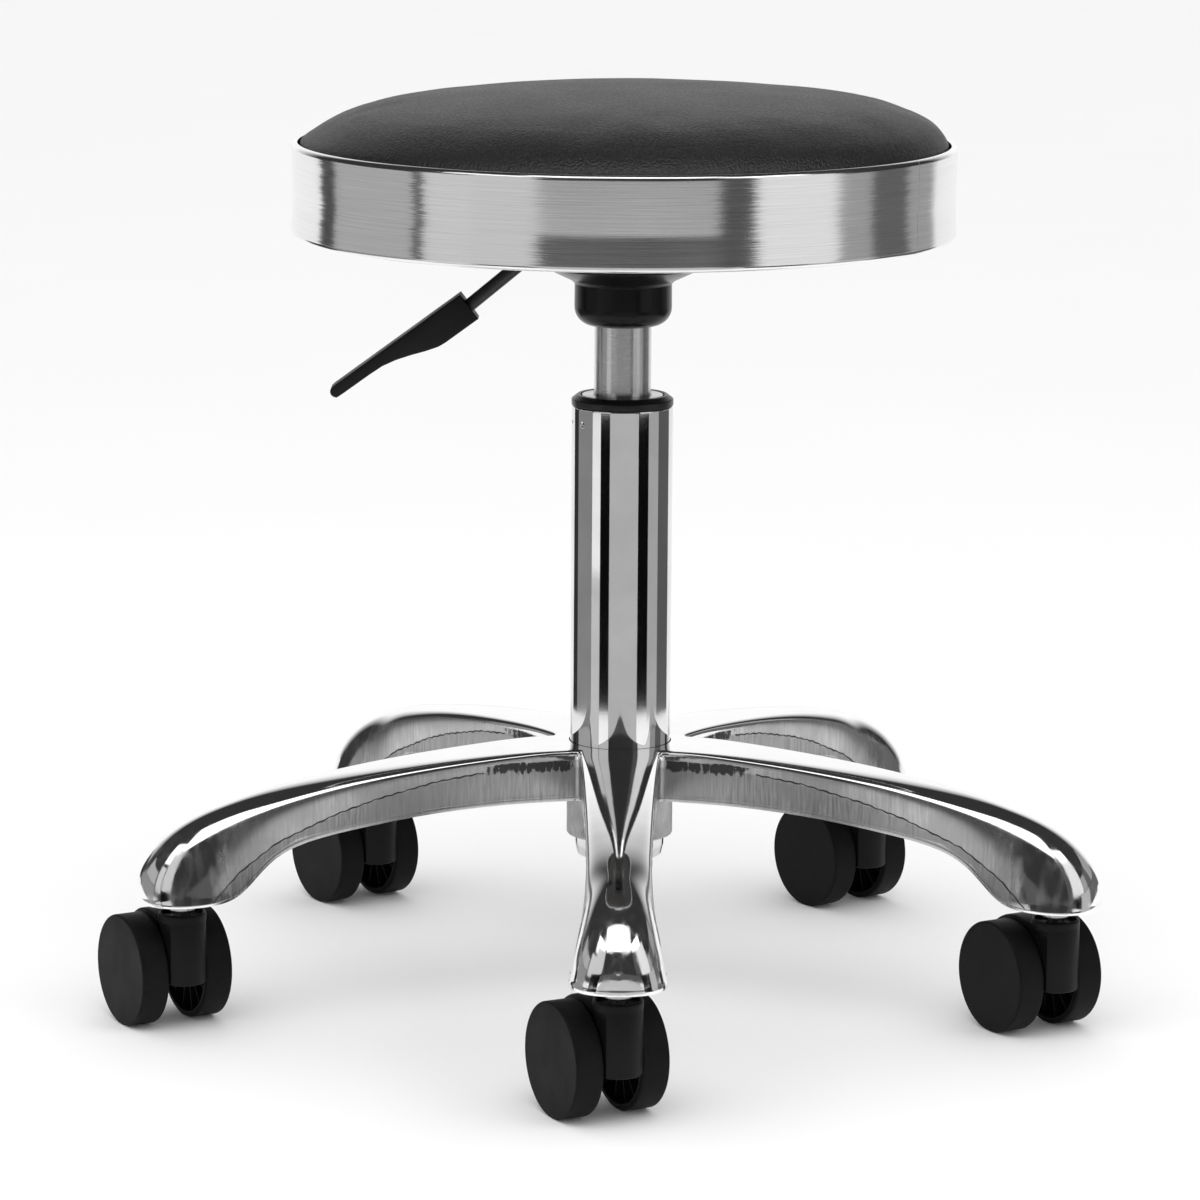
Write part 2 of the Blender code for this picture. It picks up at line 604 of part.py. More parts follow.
# ---------------------------------------------------------------- seat, sliding parts
def make_gas_cylinder(parent):
    shell = [
        (CYLINDER_TIP_R - CYLINDER_EDGE_IN, CYLINDER_TOP_Z),
        (CYLINDER_TIP_R, CYLINDER_TOP_Z - CYLINDER_EDGE_H),
        (CYLINDER_R, CYLINDER_TAPER_Z),
        (CYLINDER_R, CYLINDER_END_Z),
        (CYLINDER_BORE_R, CYLINDER_END_Z),
        (CYLINDER_BORE_R, CYLINDER_TAPER_Z - CYLINDER_ROOF_LOW),
        (PIN_R + GAP, CYLINDER_TAPER_Z + CYLINDER_ROOF_HIGH),
        (PIN_R + GAP, CYLINDER_TOP_Z),
    ]
    shade_round(turned("gas_cylinder", shell, "steel", parent))
    low = CYLINDER_END_Z + GUIDE_IN
    guide = ring_profile(ROD_R + GAP, CYLINDER_BORE_R - GAP, low, low + GUIDE_H)
    turned("cylinder_end_guide", guide, "black_matte", parent, SMALL_STEPS)


def make_socket_plate(parent):
    """Pressed plate under the seat board, with its welded taper socket and pivot lugs."""
    top = BOARD_Z - GAP
    low = top - PLATE_H
    half = PLATE_SIDE / 2
    plate = block("socket_plate", (-half, -half, low), (half, half, top), "black_paint", parent)
    corners = plate.modifiers.new("round_corners", "BEVEL")
    corners.width = PLATE_CORNER
    corners.segments = 2
    corners.limit_method = "WEIGHT"
    weight = plate.data.attributes.new("bevel_weight_edge", "FLOAT", "EDGE")
    for edge in plate.data.edges:
        ends = [plate.data.vertices[v].co for v in edge.vertices]
        upright = abs(ends[0].z - ends[1].z) > PLATE_H / 2
        weight.data[edge.index].value = 1.0 if upright else 0.0
    tube = turned("socket_tube", rod_profile(SOCKET_R, SOCKET_END_Z, top - SINK), None, parent)
    combine(plate, tube, "UNION")
    for side in (-1, 1):
        near = sorted((side * LUG_IN, side * LUG_OUT))
        lug = block(
            f"pivot_lug_{side}", (PIVOT_X - LUG_HALF, near[0], LEVER_Z - LUG_HALF),
            (PIVOT_X + LUG_HALF, near[1], top - SINK), None, parent,
        )
        combine(plate, lug, "UNION")
    slope = (CYLINDER_R - CYLINDER_TIP_R) / (CYLINDER_TOP_Z - CYLINDER_TAPER_Z)
    reach = CUT_PAST
    head_room = CYLINDER_TOP_Z + HEAD_ROOM
    bore = [
        (0, head_room),
        (CYLINDER_TIP_R + GAP, head_room),
        (CYLINDER_R + GAP, CYLINDER_TAPER_Z),
        (CYLINDER_R + GAP + slope * reach, SOCKET_END_Z - reach),
        (0, SOCKET_END_Z - reach),
    ]
    combine(plate, turned("taper_bore", bore, None, parent), "DIFFERENCE")
    pin_room = rod_profile(PIN_ROOM_R, CYLINDER_TOP_Z - PIN_ROOM_DIP, top + CUT_PAST)
    combine(plate, turned("pin_room", pin_room, None, parent), "DIFFERENCE")
    slot = block(
        "lever_slot", (-SLOT_REACH, -SLOT_HALF, LEVER_Z - SLOT_DEPTH),
        (0, SLOT_HALF, low + SLOT_PAST), None, parent,
    )
    combine(plate, slot, "DIFFERENCE")
    lug_bore = cross_pin("lug_bore", PIVOT_PIN_R + GAP, 2 * (LUG_OUT + CUT_PAST), parent)
    combine(plate, lug_bore, "DIFFERENCE")
    for index, (x, y) in enumerate(screw_places()):
        hole = turned(
            f"plate_hole_{index + 1}",
            rod_profile(SCREW_R + GAP, low - CUT_PAST, top + CUT_PAST),
            None, parent, SCREW_STEPS, location=(x, y, 0),
        )
        combine(plate, hole, "DIFFERENCE")


def cross_pin(name, radius, length, parent, finish=None):
    """A round bar along Y through the lever's pivot."""
    return turned(
        name, rod_profile(radius, -length / 2, length / 2), finish, parent, SMALL_STEPS,
        location=(PIVOT_X, 0, LEVER_Z), rotation=(math.pi / 2, 0, 0),
    )


def screw_places():
    return [(SCREW_OFFSET * x, SCREW_OFFSET * y) for x in (-1, 1) for y in (-1, 1)]


def make_seat_board(parent):
    profile = rod_profile(BOARD_R, BOARD_Z, BOARD_Z + BOARD_H)
    board = turned("seat_board", profile, "plywood", parent, SEAT_STEPS)
    depth = BOARD_H - SCREW_REST
    for index, (x, y) in enumerate(screw_places()):
        pilot = turned(
            f"pilot_hole_{index + 1}",
            rod_profile(SCREW_R + GAP, BOARD_Z - CUT_PAST, BOARD_Z + depth + GAP),
            None, parent, SCREW_STEPS, location=(x, y, 0),
        )
        combine(board, pilot, "DIFFERENCE")
        under = BOARD_Z - 2 * GAP - PLATE_H
        screw = [
            (0, BOARD_Z + depth), (SCREW_R, BOARD_Z + depth - SCREW_TIP_H), (SCREW_R, under),
            (SCREW_HEAD_R, under), (SCREW_HEAD_R * SCREW_FACE, under - SCREW_HEAD_H),
            (0, under - SCREW_CROWN_H),
        ]
        name = f"plate_screw_{index + 1}"
        turned(name, screw, "steel", parent, SCREW_STEPS, location=(x, y, 0))


def make_bell_cover(parent):
    """Bell round the cylinder head, its shallow dish and the skirt up to the plate."""
    skirt_top = BOARD_Z - PLATE_H - 2 * GAP
    outer = [(BELL_DISH_R, skirt_top), (BELL_DISH_R, BELL_DISH_Z)]
    outer += [(BELL_R + BELL_NECK_OUT, BELL_NECK_Z + BELL_NECK_UP)]
    outer += [(BELL_R, BELL_NECK_Z - BELL_NECK_DIP)]
    outer += arc(BELL_R - BELL_ROUND, BELL_Z + BELL_ROUND, BELL_ROUND, 0, -85, 4)
    bore = CYLINDER_R + GAP
    floor = BELL_Z + BELL_WALL
    inside = BELL_R - BELL_WALL
    inner = [(bore, BELL_Z), (bore, floor), (bore + BELL_SEAT, floor)]
    inner += arc(
        BELL_R - BELL_ROUND, BELL_Z + BELL_ROUND, BELL_ROUND - BELL_WALL, -70, 0, 3,
    )
    inner += [(inside, BELL_NECK_Z), (BELL_DISH_R - BELL_WALL, BELL_DISH_Z + BELL_WALL)]
    inner += [(BELL_DISH_R - BELL_WALL, skirt_top)]
    cover = turned("bell_cover", outer + inner, "black_gloss", parent)
    shade_round(cover)
    window = block(
        "skirt_window", (-WINDOW_FAR, -WINDOW_HALF, BELL_DISH_Z + WINDOW_UP),
        (-WINDOW_NEAR, WINDOW_HALF, skirt_top + CUT_PAST), None, parent,
    )
    combine(cover, window, "DIFFERENCE")


def make_seat_band(parent):
    """Shallow channel of sheet steel with both edges rolled inwards."""
    wall = BAND_R - BAND_DISH
    lip = BAND_ROLL
    outer = [(BAND_LIP_R, BAND_TOP_Z)]
    outer += arc(BAND_R - lip, BAND_TOP_Z - lip, lip, 90, 0, 1)
    outer += [(wall, BAND_TOP_Z - BAND_ROLL_H), (wall, BAND_Z + BAND_ROLL_H)]
    outer += arc(BAND_R - lip, BAND_Z + lip, lip, 0, -90, 1)
    outer += [(BAND_FOOT_R, BAND_Z)]
    inner_r = wall - BAND_WALL
    inner = [(BAND_FOOT_R, BAND_Z + BAND_WALL), (inner_r, BAND_Z + BAND_CORNER_H)]
    inner += [(inner_r, BAND_TOP_Z - BAND_CORNER_H), (BAND_LIP_R, BAND_TOP_Z - BAND_WALL)]
    shade_round(turned("seat_band", outer + inner, "brushed", parent, SEAT_STEPS))


def make_cushion(parent):
    """Padded disc: flat underneath, upright where the band holds it, domed on top."""
    underside = BOARD_Z + BOARD_H + GAP
    edge = CUSHION_R - GAP
    profile = [
        *CUSHION_CROWN, (edge, CUSHION_EDGE_Z), (edge, underside + CUSHION_EDGE),
        (edge - CUSHION_EDGE, underside), (0, underside),
    ]
    shade_round(turned("cushion", profile, "leather", parent, SEAT_STEPS))


# ---------------------------------------------------------------- release lever
def make_lever(parent):
    """Cranked rod that pivots beside the socket, with its moulded grip."""
    drop, reach = math.sin(ROD_SLOPE), math.cos(ROD_SLOPE)
    tuck = LEVER_TUCK
    grip_in = (GRIP_END[0] - reach * tuck, GRIP_END[1] - drop * tuck)
    run = (LEVER_Z - GRIP_END[1]) / math.tan(ROD_SLOPE)
    corner_x = GRIP_END[0] + run
    bend = LEVER_BEND
    points = [
        (LEVER_TIP_X, 0, LEVER_Z),
        (corner_x + bend, 0, LEVER_Z),
        (corner_x + 0.35 * bend, 0, LEVER_Z - 0.08 * bend),
        (corner_x - 0.30 * bend, 0, LEVER_Z - 0.34 * bend),
        (corner_x - reach * bend, 0, LEVER_Z - drop * bend),
        (grip_in[0], 0, grip_in[1]),
    ]
    rod = rod_along("lever_rod", points, LEVER_ROD_R, "black_paint", parent)
    rotate_origin(rod, Vector((PIVOT_X, 0, LEVER_Z)))
    barrel = cross_pin("pivot_barrel", PIVOT_R, BARREL_L, parent)
    combine(rod, barrel, "UNION")
    pivot_bore = cross_pin("pivot_bore", PIVOT_PIN_R + GAP, BARREL_L + 2 * CUT_PAST, parent)
    combine(rod, pivot_bore, "DIFFERENCE")
    shade_round(rod)

    top_edge = Vector((-math.cos(GRIP_SLOPE), 0, -math.sin(GRIP_SLOPE)))
    below = Vector((math.sin(GRIP_SLOPE), 0, -math.cos(GRIP_SLOPE)))
    corner = Vector((GRIP_END[0], 0, GRIP_END[1])) - below * GRIP_OUTLINE[-1][1] / 2
    places = [corner + top_edge * s + below * h for s, h in GRIP_OUTLINE]
    outline = [(p.x, p.z) for p in places]
    grip = outline_solid(
        "lever_grip", outline, GRIP_WIDTH, "black_matte", parent, rotation=(math.pi / 2, 0, 0),
    )
    soften = grip.modifiers.new("soften", "BEVEL")
    soften.width = GRIP_EDGE
    soften.segments = 1
    soften.limit_method = "ANGLE"
    soften.angle_limit = math.radians(50)
    deep = tuck + SINK
    middle = (
        GRIP_END[0] - reach * (deep / 2 - CUT_PAST), 0,
        GRIP_END[1] - drop * (deep / 2 - CUT_PAST),
    )
    half = deep / 2 + CUT_PAST
    socket = turned(
        "grip_socket", rod_profile(LEVER_ROD_R + GAP, -half, half), None, parent, SMALL_STEPS,
        location=middle, rotation=(0, math.pi / 2 - ROD_SLOPE, 0),
    )
    combine(grip, socket, "DIFFERENCE")


def rotate_origin(obj, place):
    """Move an object's origin to a point of its parent's space, leaving its shape there."""
    shift = place - obj.location
    obj.data.transform(Matrix.Translation(-shift))
    obj.location = place


def make_release_pin(parent):
    low = PIN_TOP_Z - PIN_LENGTH
    pin = [
        (0, PIN_TOP_Z), (PIN_R - PIN_EDGE, PIN_TOP_Z), (PIN_R, PIN_TOP_Z - PIN_EDGE),
        (PIN_R, low), (0, low),
    ]
    turned("release_pin", pin, "steel", parent, SMALL_STEPS)


# ---------------------------------------------------------------- castors
def wheel_profile():
    """Section of a twin wheel, height 0 on its inner side and WHEEL_W on its outer side."""
    rim_r = WHEEL_R - WHEEL_RIM
    corner = WHEEL_R / math.cos(math.pi / WHEEL_STEPS)
    return [
        (0, WHEEL_W), (corner - WHEEL_EDGE_IN, WHEEL_W), (corner, WHEEL_W - WHEEL_EDGE_H),
        (corner, 0), (rim_r, 0), (rim_r, WHEEL_WEB), (WHEEL_HUB_R, WHEEL_WEB),
        (WHEEL_HUB_R, WHEEL_HUB_GAP), (AXLE_R + GAP, WHEEL_HUB_GAP),
        (AXLE_R + GAP, AXLE_DEPTH), (0, AXLE_DEPTH),
    ]


def housing_outline():
    """Side view of a castor body: X from the stem towards the axle, Y is height."""
    fender = arc(TRAIL, WHEEL_R, FENDER_R, FENDER_START, FENDER_END, 6)
    hub = arc(TRAIL, WHEEL_R, AXLE_BOSS_R, -40, -130, 2)
    front = -SOCKET_BOSS_R
    top = [(front, HOUSING_TOP_Z), (HOUSING_NECK, HOUSING_TOP_Z)]
    return top + fender + hub + [(HOUSING_NECK, HOUSING_END_Z), (front, HOUSING_END_Z)]


def make_castor_body(name, parent):
    """Body between the twin wheels: socket for the stem, web and mudguard."""
    body = outline_solid(
        name, housing_outline(), HOUSING_W, "black_matte", parent,
        rotation=(math.pi / 2, 0, math.pi / 2),
    )
    back = TRAIL + FENDER_R + 2 * CUT_PAST
    plan = arc(0, 0, SOCKET_BOSS_R, 180, 360, 8)
    plan += [(SOCKET_BOSS_R, back), (-SOCKET_BOSS_R, back)]
    trim = outline_solid(f"{name}_plan", plan, 3 * HOUSING_TOP_Z, None, parent)
    combine(body, trim, "INTERSECT")
    boss = rod_profile(SOCKET_BOSS_R, SOCKET_BOSS_Z, HOUSING_TOP_Z)
    combine(body, turned(f"{name}_boss", boss, None, parent, BOSS_STEPS), "UNION")
    floor_z = HOUSING_END_Z + STEM_ROOM
    past, dish = HOUSING_TOP_Z + 2 * CUT_PAST, HOUSING_TOP_Z - RECESS_DEPTH
    bore = [
        (0, past), (RECESS_R, past), (RECESS_R, dish), (STEM_R + GAP, dish),
        (STEM_R + GAP, floor_z), (0, floor_z),
    ]
    combine(body, turned(f"{name}_bore", bore, None, parent, SMALL_STEPS), "DIFFERENCE")
    axle_bore = turned(
        f"{name}_axle_bore", rod_profile(AXLE_R + GAP, -AXLE_BORE_L / 2, AXLE_BORE_L / 2),
        None, parent, SMALL_STEPS,
        location=(0, TRAIL, WHEEL_R), rotation=(0, math.pi / 2, 0),
    )
    combine(body, axle_bore, "DIFFERENCE")
    return body


def make_castor(index, column):
    """One twin-wheel castor: fixed stem, swivelling body and two wheels on one axle."""
    name = f"castor_{index + 1}"
    angle = FIRST_ARM + index * math.tau / ARM_COUNT
    turn = math.radians(CASTOR_TURNS[index])
    swivel = add_empty(f"{name}_swivel", column, polar(STEM_CIRCLE_R, angle, 0), turn)
    collar_top, end = STEM_COLLAR_Z + STEM_COLLAR_H, HOUSING_END_Z + STEM_ROOM + SINK
    stem = [
        (0, STEM_TOP_Z), (STEM_R - STEM_EDGE_IN, STEM_TOP_Z),
        (STEM_R, STEM_TOP_Z - STEM_EDGE_H), (STEM_R, collar_top), (STEM_COLLAR_R, collar_top),
        (STEM_COLLAR_R, STEM_COLLAR_Z), (STEM_R, STEM_COLLAR_Z), (STEM_R, end), (0, end),
    ]
    turned(f"{name}_stem", stem, "steel", swivel, SMALL_STEPS)
    clip = ring_profile(STEM_R + GAP, STEM_BORE_R - GAP, GRIP_RING_Z, GRIP_RING_TOP_Z)
    turned(f"{name}_grip_ring", clip, "steel", swivel, SMALL_STEPS)
    make_castor_body(f"{name}_housing", swivel)
    turned(
        f"{name}_axle", rod_profile(AXLE_R, -AXLE_LENGTH / 2, AXLE_LENGTH / 2), "steel", swivel,
        SMALL_STEPS, location=(0, TRAIL, WHEEL_R), rotation=(0, math.pi / 2, 0),
    )
    inner_face = PAIR_W / 2 - WHEEL_W
    for side, label in ((-1, "left"), (1, "right")):
        wheel = turned(
            f"{name}_wheel_{label}", wheel_profile(), "black_matte", swivel, WHEEL_STEPS,
            location=(side * inner_face, TRAIL, WHEEL_R),
            rotation=(0, side * math.pi / 2, math.pi / WHEEL_STEPS),
        )
        wheel.rotation_mode = "ZYX"       # turn about the axle first, one flat side down
        shade_round(wheel)


# ---------------------------------------------------------------- assembly
def make_stool():
    column = add_empty("column", location=(COLUMN_X, COLUMN_Y, 0))
    make_star_base(column)
    make_lift_tube(column)
    make_guide_bushing(column)
    shoulder_z = make_thrust_bearing(column)
    swivel = add_empty("seat_swivel", column)
    make_piston(swivel, shoulder_z)
    seat = add_empty("seat_lift", swivel)
    make_gas_cylinder(seat)
    make_socket_plate(seat)
    make_bell_cover(seat)
    make_seat_board(seat)
    make_seat_band(seat)
    make_cushion(seat)
    cross_pin("lever_pivot_pin", PIVOT_PIN_R, PIVOT_PIN_L, seat, "steel")
    make_lever(seat)
    make_release_pin(seat)
    for index in range(ARM_COUNT):
        make_castor(index, column)


make_stool()
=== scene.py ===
"""Looks of the adjustable swivel stool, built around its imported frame. Metres, +Z up."""
import json
import math

import bmesh
import bpy
from mathutils import Matrix, Vector
from mathutils.bvhtree import BVHTree
from mathutils.kdtree import KDTree


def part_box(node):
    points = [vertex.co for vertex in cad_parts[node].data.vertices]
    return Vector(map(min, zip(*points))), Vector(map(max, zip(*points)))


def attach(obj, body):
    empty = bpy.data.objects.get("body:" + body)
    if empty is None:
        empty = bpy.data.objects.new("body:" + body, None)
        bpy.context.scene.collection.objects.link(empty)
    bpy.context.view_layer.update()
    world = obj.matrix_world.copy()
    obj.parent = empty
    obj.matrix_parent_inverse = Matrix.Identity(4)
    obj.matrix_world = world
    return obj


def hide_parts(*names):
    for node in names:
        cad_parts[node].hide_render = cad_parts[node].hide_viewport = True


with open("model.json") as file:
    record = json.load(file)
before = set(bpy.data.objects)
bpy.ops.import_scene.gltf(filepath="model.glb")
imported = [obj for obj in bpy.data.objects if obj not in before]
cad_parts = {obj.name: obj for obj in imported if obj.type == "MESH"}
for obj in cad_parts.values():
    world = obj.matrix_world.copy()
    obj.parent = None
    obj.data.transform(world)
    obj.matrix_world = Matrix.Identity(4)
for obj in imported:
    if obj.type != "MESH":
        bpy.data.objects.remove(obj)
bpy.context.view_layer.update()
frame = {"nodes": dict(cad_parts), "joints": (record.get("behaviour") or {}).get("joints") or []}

# ---------------------------------------------------------------- places read from the frame
JOINTS = {joint["name"]: joint for joint in frame["joints"]}
AXIS = Vector((*JOINTS["seat_swivel"]["pos_m"][:2], 0))        # column axis, on the floor
ARM_COUNT = 5
SECTOR = math.tau / ARM_COUNT
FIRST_ARM = math.radians(-90)
ARM_ANGLES = [FIRST_ARM + k * SECTOR for k in range(ARM_COUNT)]
STEM_CIRCLE = (Vector(JOINTS["castor_1_swivel"]["pos_m"][:2]) - AXIS.xy).length


def turned_size(node):
    """Radius, lowest and highest height of a node that is turned about the column axis."""
    low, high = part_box(node)
    return (high.x - low.x) / 2, low.z, high.z


TUBE_R, TUBE_END, TUBE_TOP = turned_size("lift_tube")
CYLINDER_R, CYLINDER_END, CYLINDER_TOP = turned_size("gas_cylinder")
BAND_R, BAND_LOW, BAND_TOP = turned_size("seat_band")
CUSHION_R, CUSHION_LOW, _ = turned_size("cushion")

# Cast base: hub
HUB_TOP = 0.1316
HUB_RIM = 0.1062                     # lower edge of the arms where they meet
HUB_GAP = 0.0005                     # groove round the tube
CROTCH_R = 0.0330                    # corner between two arms, before it is rounded
BOSS_R, BOSS_LOW = 0.0264, 0.0842
BASE_WALL = 0.0030
BEAD_OUT, BEAD_HIGH = 0.0004, 0.0018   # bead along the lower rim of the arms
BEAD_STEP = 0.0010                   # height over which the bead runs into the wall
# Cast base: stations along an arm: distance from the column, half width and height of the
# rim, then the side up to the crown as (offset, height) pairs, and the height of the crown.
ARM_STATIONS = (
    (0.0335, 0.0186, 0.1062, (0.0194, 0.1284), (0.0194, 0.1306), (0.0184, 0.1316),
     (0.0160, 0.1317), 0.1317),
    (0.0440, 0.0180, 0.1062, (0.0189, 0.1284), (0.0189, 0.1305), (0.0178, 0.1316),
     (0.0154, 0.1317), 0.1317),
    (0.0620, 0.0171, 0.1062, (0.0181, 0.1272), (0.0181, 0.1296), (0.0166, 0.1309),
     (0.0130, 0.1314), 0.1318),
    (0.1000, 0.0158, 0.1042, (0.0168, 0.1236), (0.0167, 0.1264), (0.0148, 0.1280),
     (0.0106, 0.1288), 0.1292),
    (0.1400, 0.0150, 0.0985, (0.0159, 0.1172), (0.0156, 0.1208), (0.0132, 0.1231),
     (0.0084, 0.1243), 0.1248),
    (0.1700, 0.0147, 0.0930, (0.0154, 0.1098), (0.0149, 0.1141), (0.0118, 0.1171),
     (0.0068, 0.1191), 0.1200),
    (0.1860, 0.0158, 0.0835, (0.0158, 0.1022), (0.0150, 0.1088), (0.0114, 0.1130),
     (0.0060, 0.1155), 0.1164),
    (0.1990, 0.0188, 0.0682, (0.0169, 0.0908), (0.0150, 0.1006), (0.0111, 0.1078),
     (0.0058, 0.1114), 0.1126),
    (0.2140, 0.0224, 0.0660, (0.0201, 0.0826), (0.0170, 0.0936), (0.0121, 0.1027),
     (0.0060, 0.1068), 0.1078),
    (0.2290, 0.0229, 0.0660, (0.0209, 0.0768), (0.0176, 0.0870), (0.0119, 0.0956),
     (0.0056, 0.0989), 0.0996),
    (0.2395, 0.0184, 0.0660, (0.0176, 0.0724), (0.0150, 0.0800), (0.0100, 0.0860),
     (0.0046, 0.0880), 0.0884),
    (0.2448, 0.0106, 0.0660, (0.0104, 0.0697), (0.0088, 0.0738), (0.0058, 0.0774),
     (0.0027, 0.0790), 0.0794),
)
RIM_HALF, RIM, CROWN = 1, 2, -1        # where a station keeps these values
FOOT_RIM = ARM_STATIONS[-1][RIM]
FOOT_TIP, FOOT_TIP_TOP = 0.2460, 0.0738
FOOT_BOSS_R, FOOT_BOSS_LOW, FOOT_BOSS_TOP = 0.0100, 0.0648, 0.0870
STEM_HOLE_R = 0.0060
RIB_HALF = 0.0011                    # half the thickness of the ribs
RIB_PLACES = (0.072, 0.104, 0.136, 0.166)
FLASH_START, FLASH_END, FLASH_STEPS = 0.076, 0.2135, 89
PARTING_KNOTS = (                    # (distance, height) of the mould's parting line
    (0.070, 0.1236), (0.100, 0.1196), (0.130, 0.1126), (0.150, 0.1064), (0.180, 0.0940),
    (0.200, 0.0806), (0.214, 0.0675),
)
BASE_PAINT = ("wall", "below", "raw_and_painted_shade", "foot")


# ---------------------------------------------------------------- material helpers
BLACK, WHITE = (0.0, 0.0, 0.0, 1.0), (1.0, 1.0, 1.0, 1.0)
ORIGIN = (0, 0, 0)


class Nodes:
    """A node tree in the making: short calls that add, set and link nodes."""

    def __init__(self, tree):
        self.tree = tree

    def add(self, kind, values=None, **settings):
        node = self.tree.nodes.new("ShaderNode" + kind)
        for key, value in settings.items():
            setattr(node, key, value)
        for key, value in (values or {}).items():
            if isinstance(value, bpy.types.NodeSocket):
                self.tree.links.new(value, node.inputs[key])
            else:
                node.inputs[key].default_value = value
        return node

    def calc(self, operation, first, second=0.0):
        return self.add("Math", {0: first, 1: second}, operation=operation).outputs[0]

    def plus(self, first, second):
        return self.calc("ADD", first, second)

    def minus(self, first, second):
        return self.calc("SUBTRACT", first, second)

    def times(self, first, second):
        return self.calc("MULTIPLY", first, second)

    def vector(self, operation, values):
        return self.add("VectorMath", values, operation=operation).outputs[0]

    def spread(self, value, low, high, to_low=0.0, to_high=1.0):
        """Map a value from one range to another, clamped at both ends."""
        values = {
            "Value": value, "From Min": low, "From Max": high, "To Min": to_low, "To Max": to_high,
        }
        return self.add("MapRange", values, clamp=True).outputs["Result"]


class Look(Nodes):
    """A procedural material in the making, and the patterns it is painted with."""

    def __init__(self, name, **surface):
        self.material = bpy.data.materials.new(name)
        self.material.use_nodes = True
        super().__init__(self.material.node_tree)
        self.shader = self.tree.nodes["Principled BSDF"]
        for socket, value in surface.items():
            self.shader.inputs[socket.replace("_", " ")].default_value = value

    def place(self, scale=(1, 1, 1), shift=ORIGIN):
        """Object coordinates, shifted and then scaled."""
        point = self.add("TexCoord").outputs["Object"]
        return self.vector("MULTIPLY", {0: self.vector("SUBTRACT", {0: point, 1: shift}), 1: scale})

    def turn_and_height(self, shift=ORIGIN):
        """The angle round the Z axis and the height."""
        x, y, z = self.add("SeparateXYZ", {0: self.place(shift=shift)}).outputs
        return self.calc("ARCTAN2", y, x), z

    def noise(self, coordinates, scale, detail=2.0, roughness=0.5, distortion=0.0):
        values = {
            "Vector": coordinates, "Scale": scale, "Detail": detail, "Roughness": roughness,
            "Distortion": distortion,
        }
        return self.add("TexNoise", values).outputs["Fac"]

    def grain(self, scale, detail, roughness=0.5, distortion=0.0, shift=ORIGIN):
        """Noise with its own scale along each axis."""
        return self.noise(self.place(scale, shift), 1.0, detail, roughness, distortion)

    def rings(self, turn_scale, height_scale, detail, roughness=0.5, shift=ORIGIN):
        """Noise drawn out round the Z axis, like the marks left by turning."""
        turn, height = self.turn_and_height(shift)
        values = {0: self.times(turn, turn_scale), 2: self.times(height, height_scale)}
        around = self.add("CombineXYZ", values).outputs[0]
        return self.noise(around, 1.0, detail, roughness)

    def cells(self, coordinates, scale, smoothness=0.0):
        """Distance to the middle of the nearest cell, with rounded ridges if it is smooth."""
        values = {"Vector": coordinates, "Scale": scale}
        if not smoothness:
            return self.add("TexVoronoi", values).outputs["Distance"]
        node = self.add("TexVoronoi", values, feature="SMOOTH_F1")
        node.inputs["Smoothness"].default_value = smoothness
        return node.outputs["Distance"]

    def blend(self, factor, first, second):
        """Mix two colours, given as sockets or as grey levels."""
        node = self.add("Mix", {0: factor}, data_type="RGBA")
        for index, colour in ((6, first), (7, second)):
            if isinstance(colour, bpy.types.NodeSocket):
                self.tree.links.new(colour, node.inputs[index])
            else:
                shade = colour if isinstance(colour, tuple) else (colour,) * 3
                node.inputs[index].default_value = (*shade, 1.0)
        return node.outputs[2]

    def paint(self, name):
        """A vertex attribute of the mesh."""
        return self.add("Attribute", attribute_name=name).outputs["Fac"]

    def to(self, socket, value):
        self.tree.links.new(value, self.shader.inputs[socket])

    def colour(self, factor, first, second):
        self.to("Base Color", self.blend(factor, first, second))

    def roughness(self, value, low, high, to_low, to_high):
        self.to("Roughness", self.spread(value, low, high, to_low, to_high))

    def turned(self):
        """Draw reflections out as on a surface that was worked round the Z axis."""
        self.to("Tangent", self.add("Tangent", direction_type="RADIAL", axis="Z").outputs[0])

    def sway(self, amount):
        """The surface normal, swung sideways round the Z axis by a small amount."""
        normal = self.add("NewGeometry").outputs["Normal"]
        side = self.vector("CROSS_PRODUCT", {0: (0, 0, 1), 1: normal})
        push = self.vector("SCALE", {0: side, "Scale": amount})
        return self.vector("NORMALIZE", {0: self.vector("ADD", {0: normal, 1: push})})

    def bump(self, *layers, normal=None):
        """Chain bump layers, each a (height, distance in metres) pair."""
        for height, distance in layers:
            values = {"Height": height, "Distance": distance, "Strength": 1.0}
            if normal is not None:
                values["Normal"] = normal
            normal = self.add("Bump", values).outputs["Normal"]
        self.to("Normal", normal)


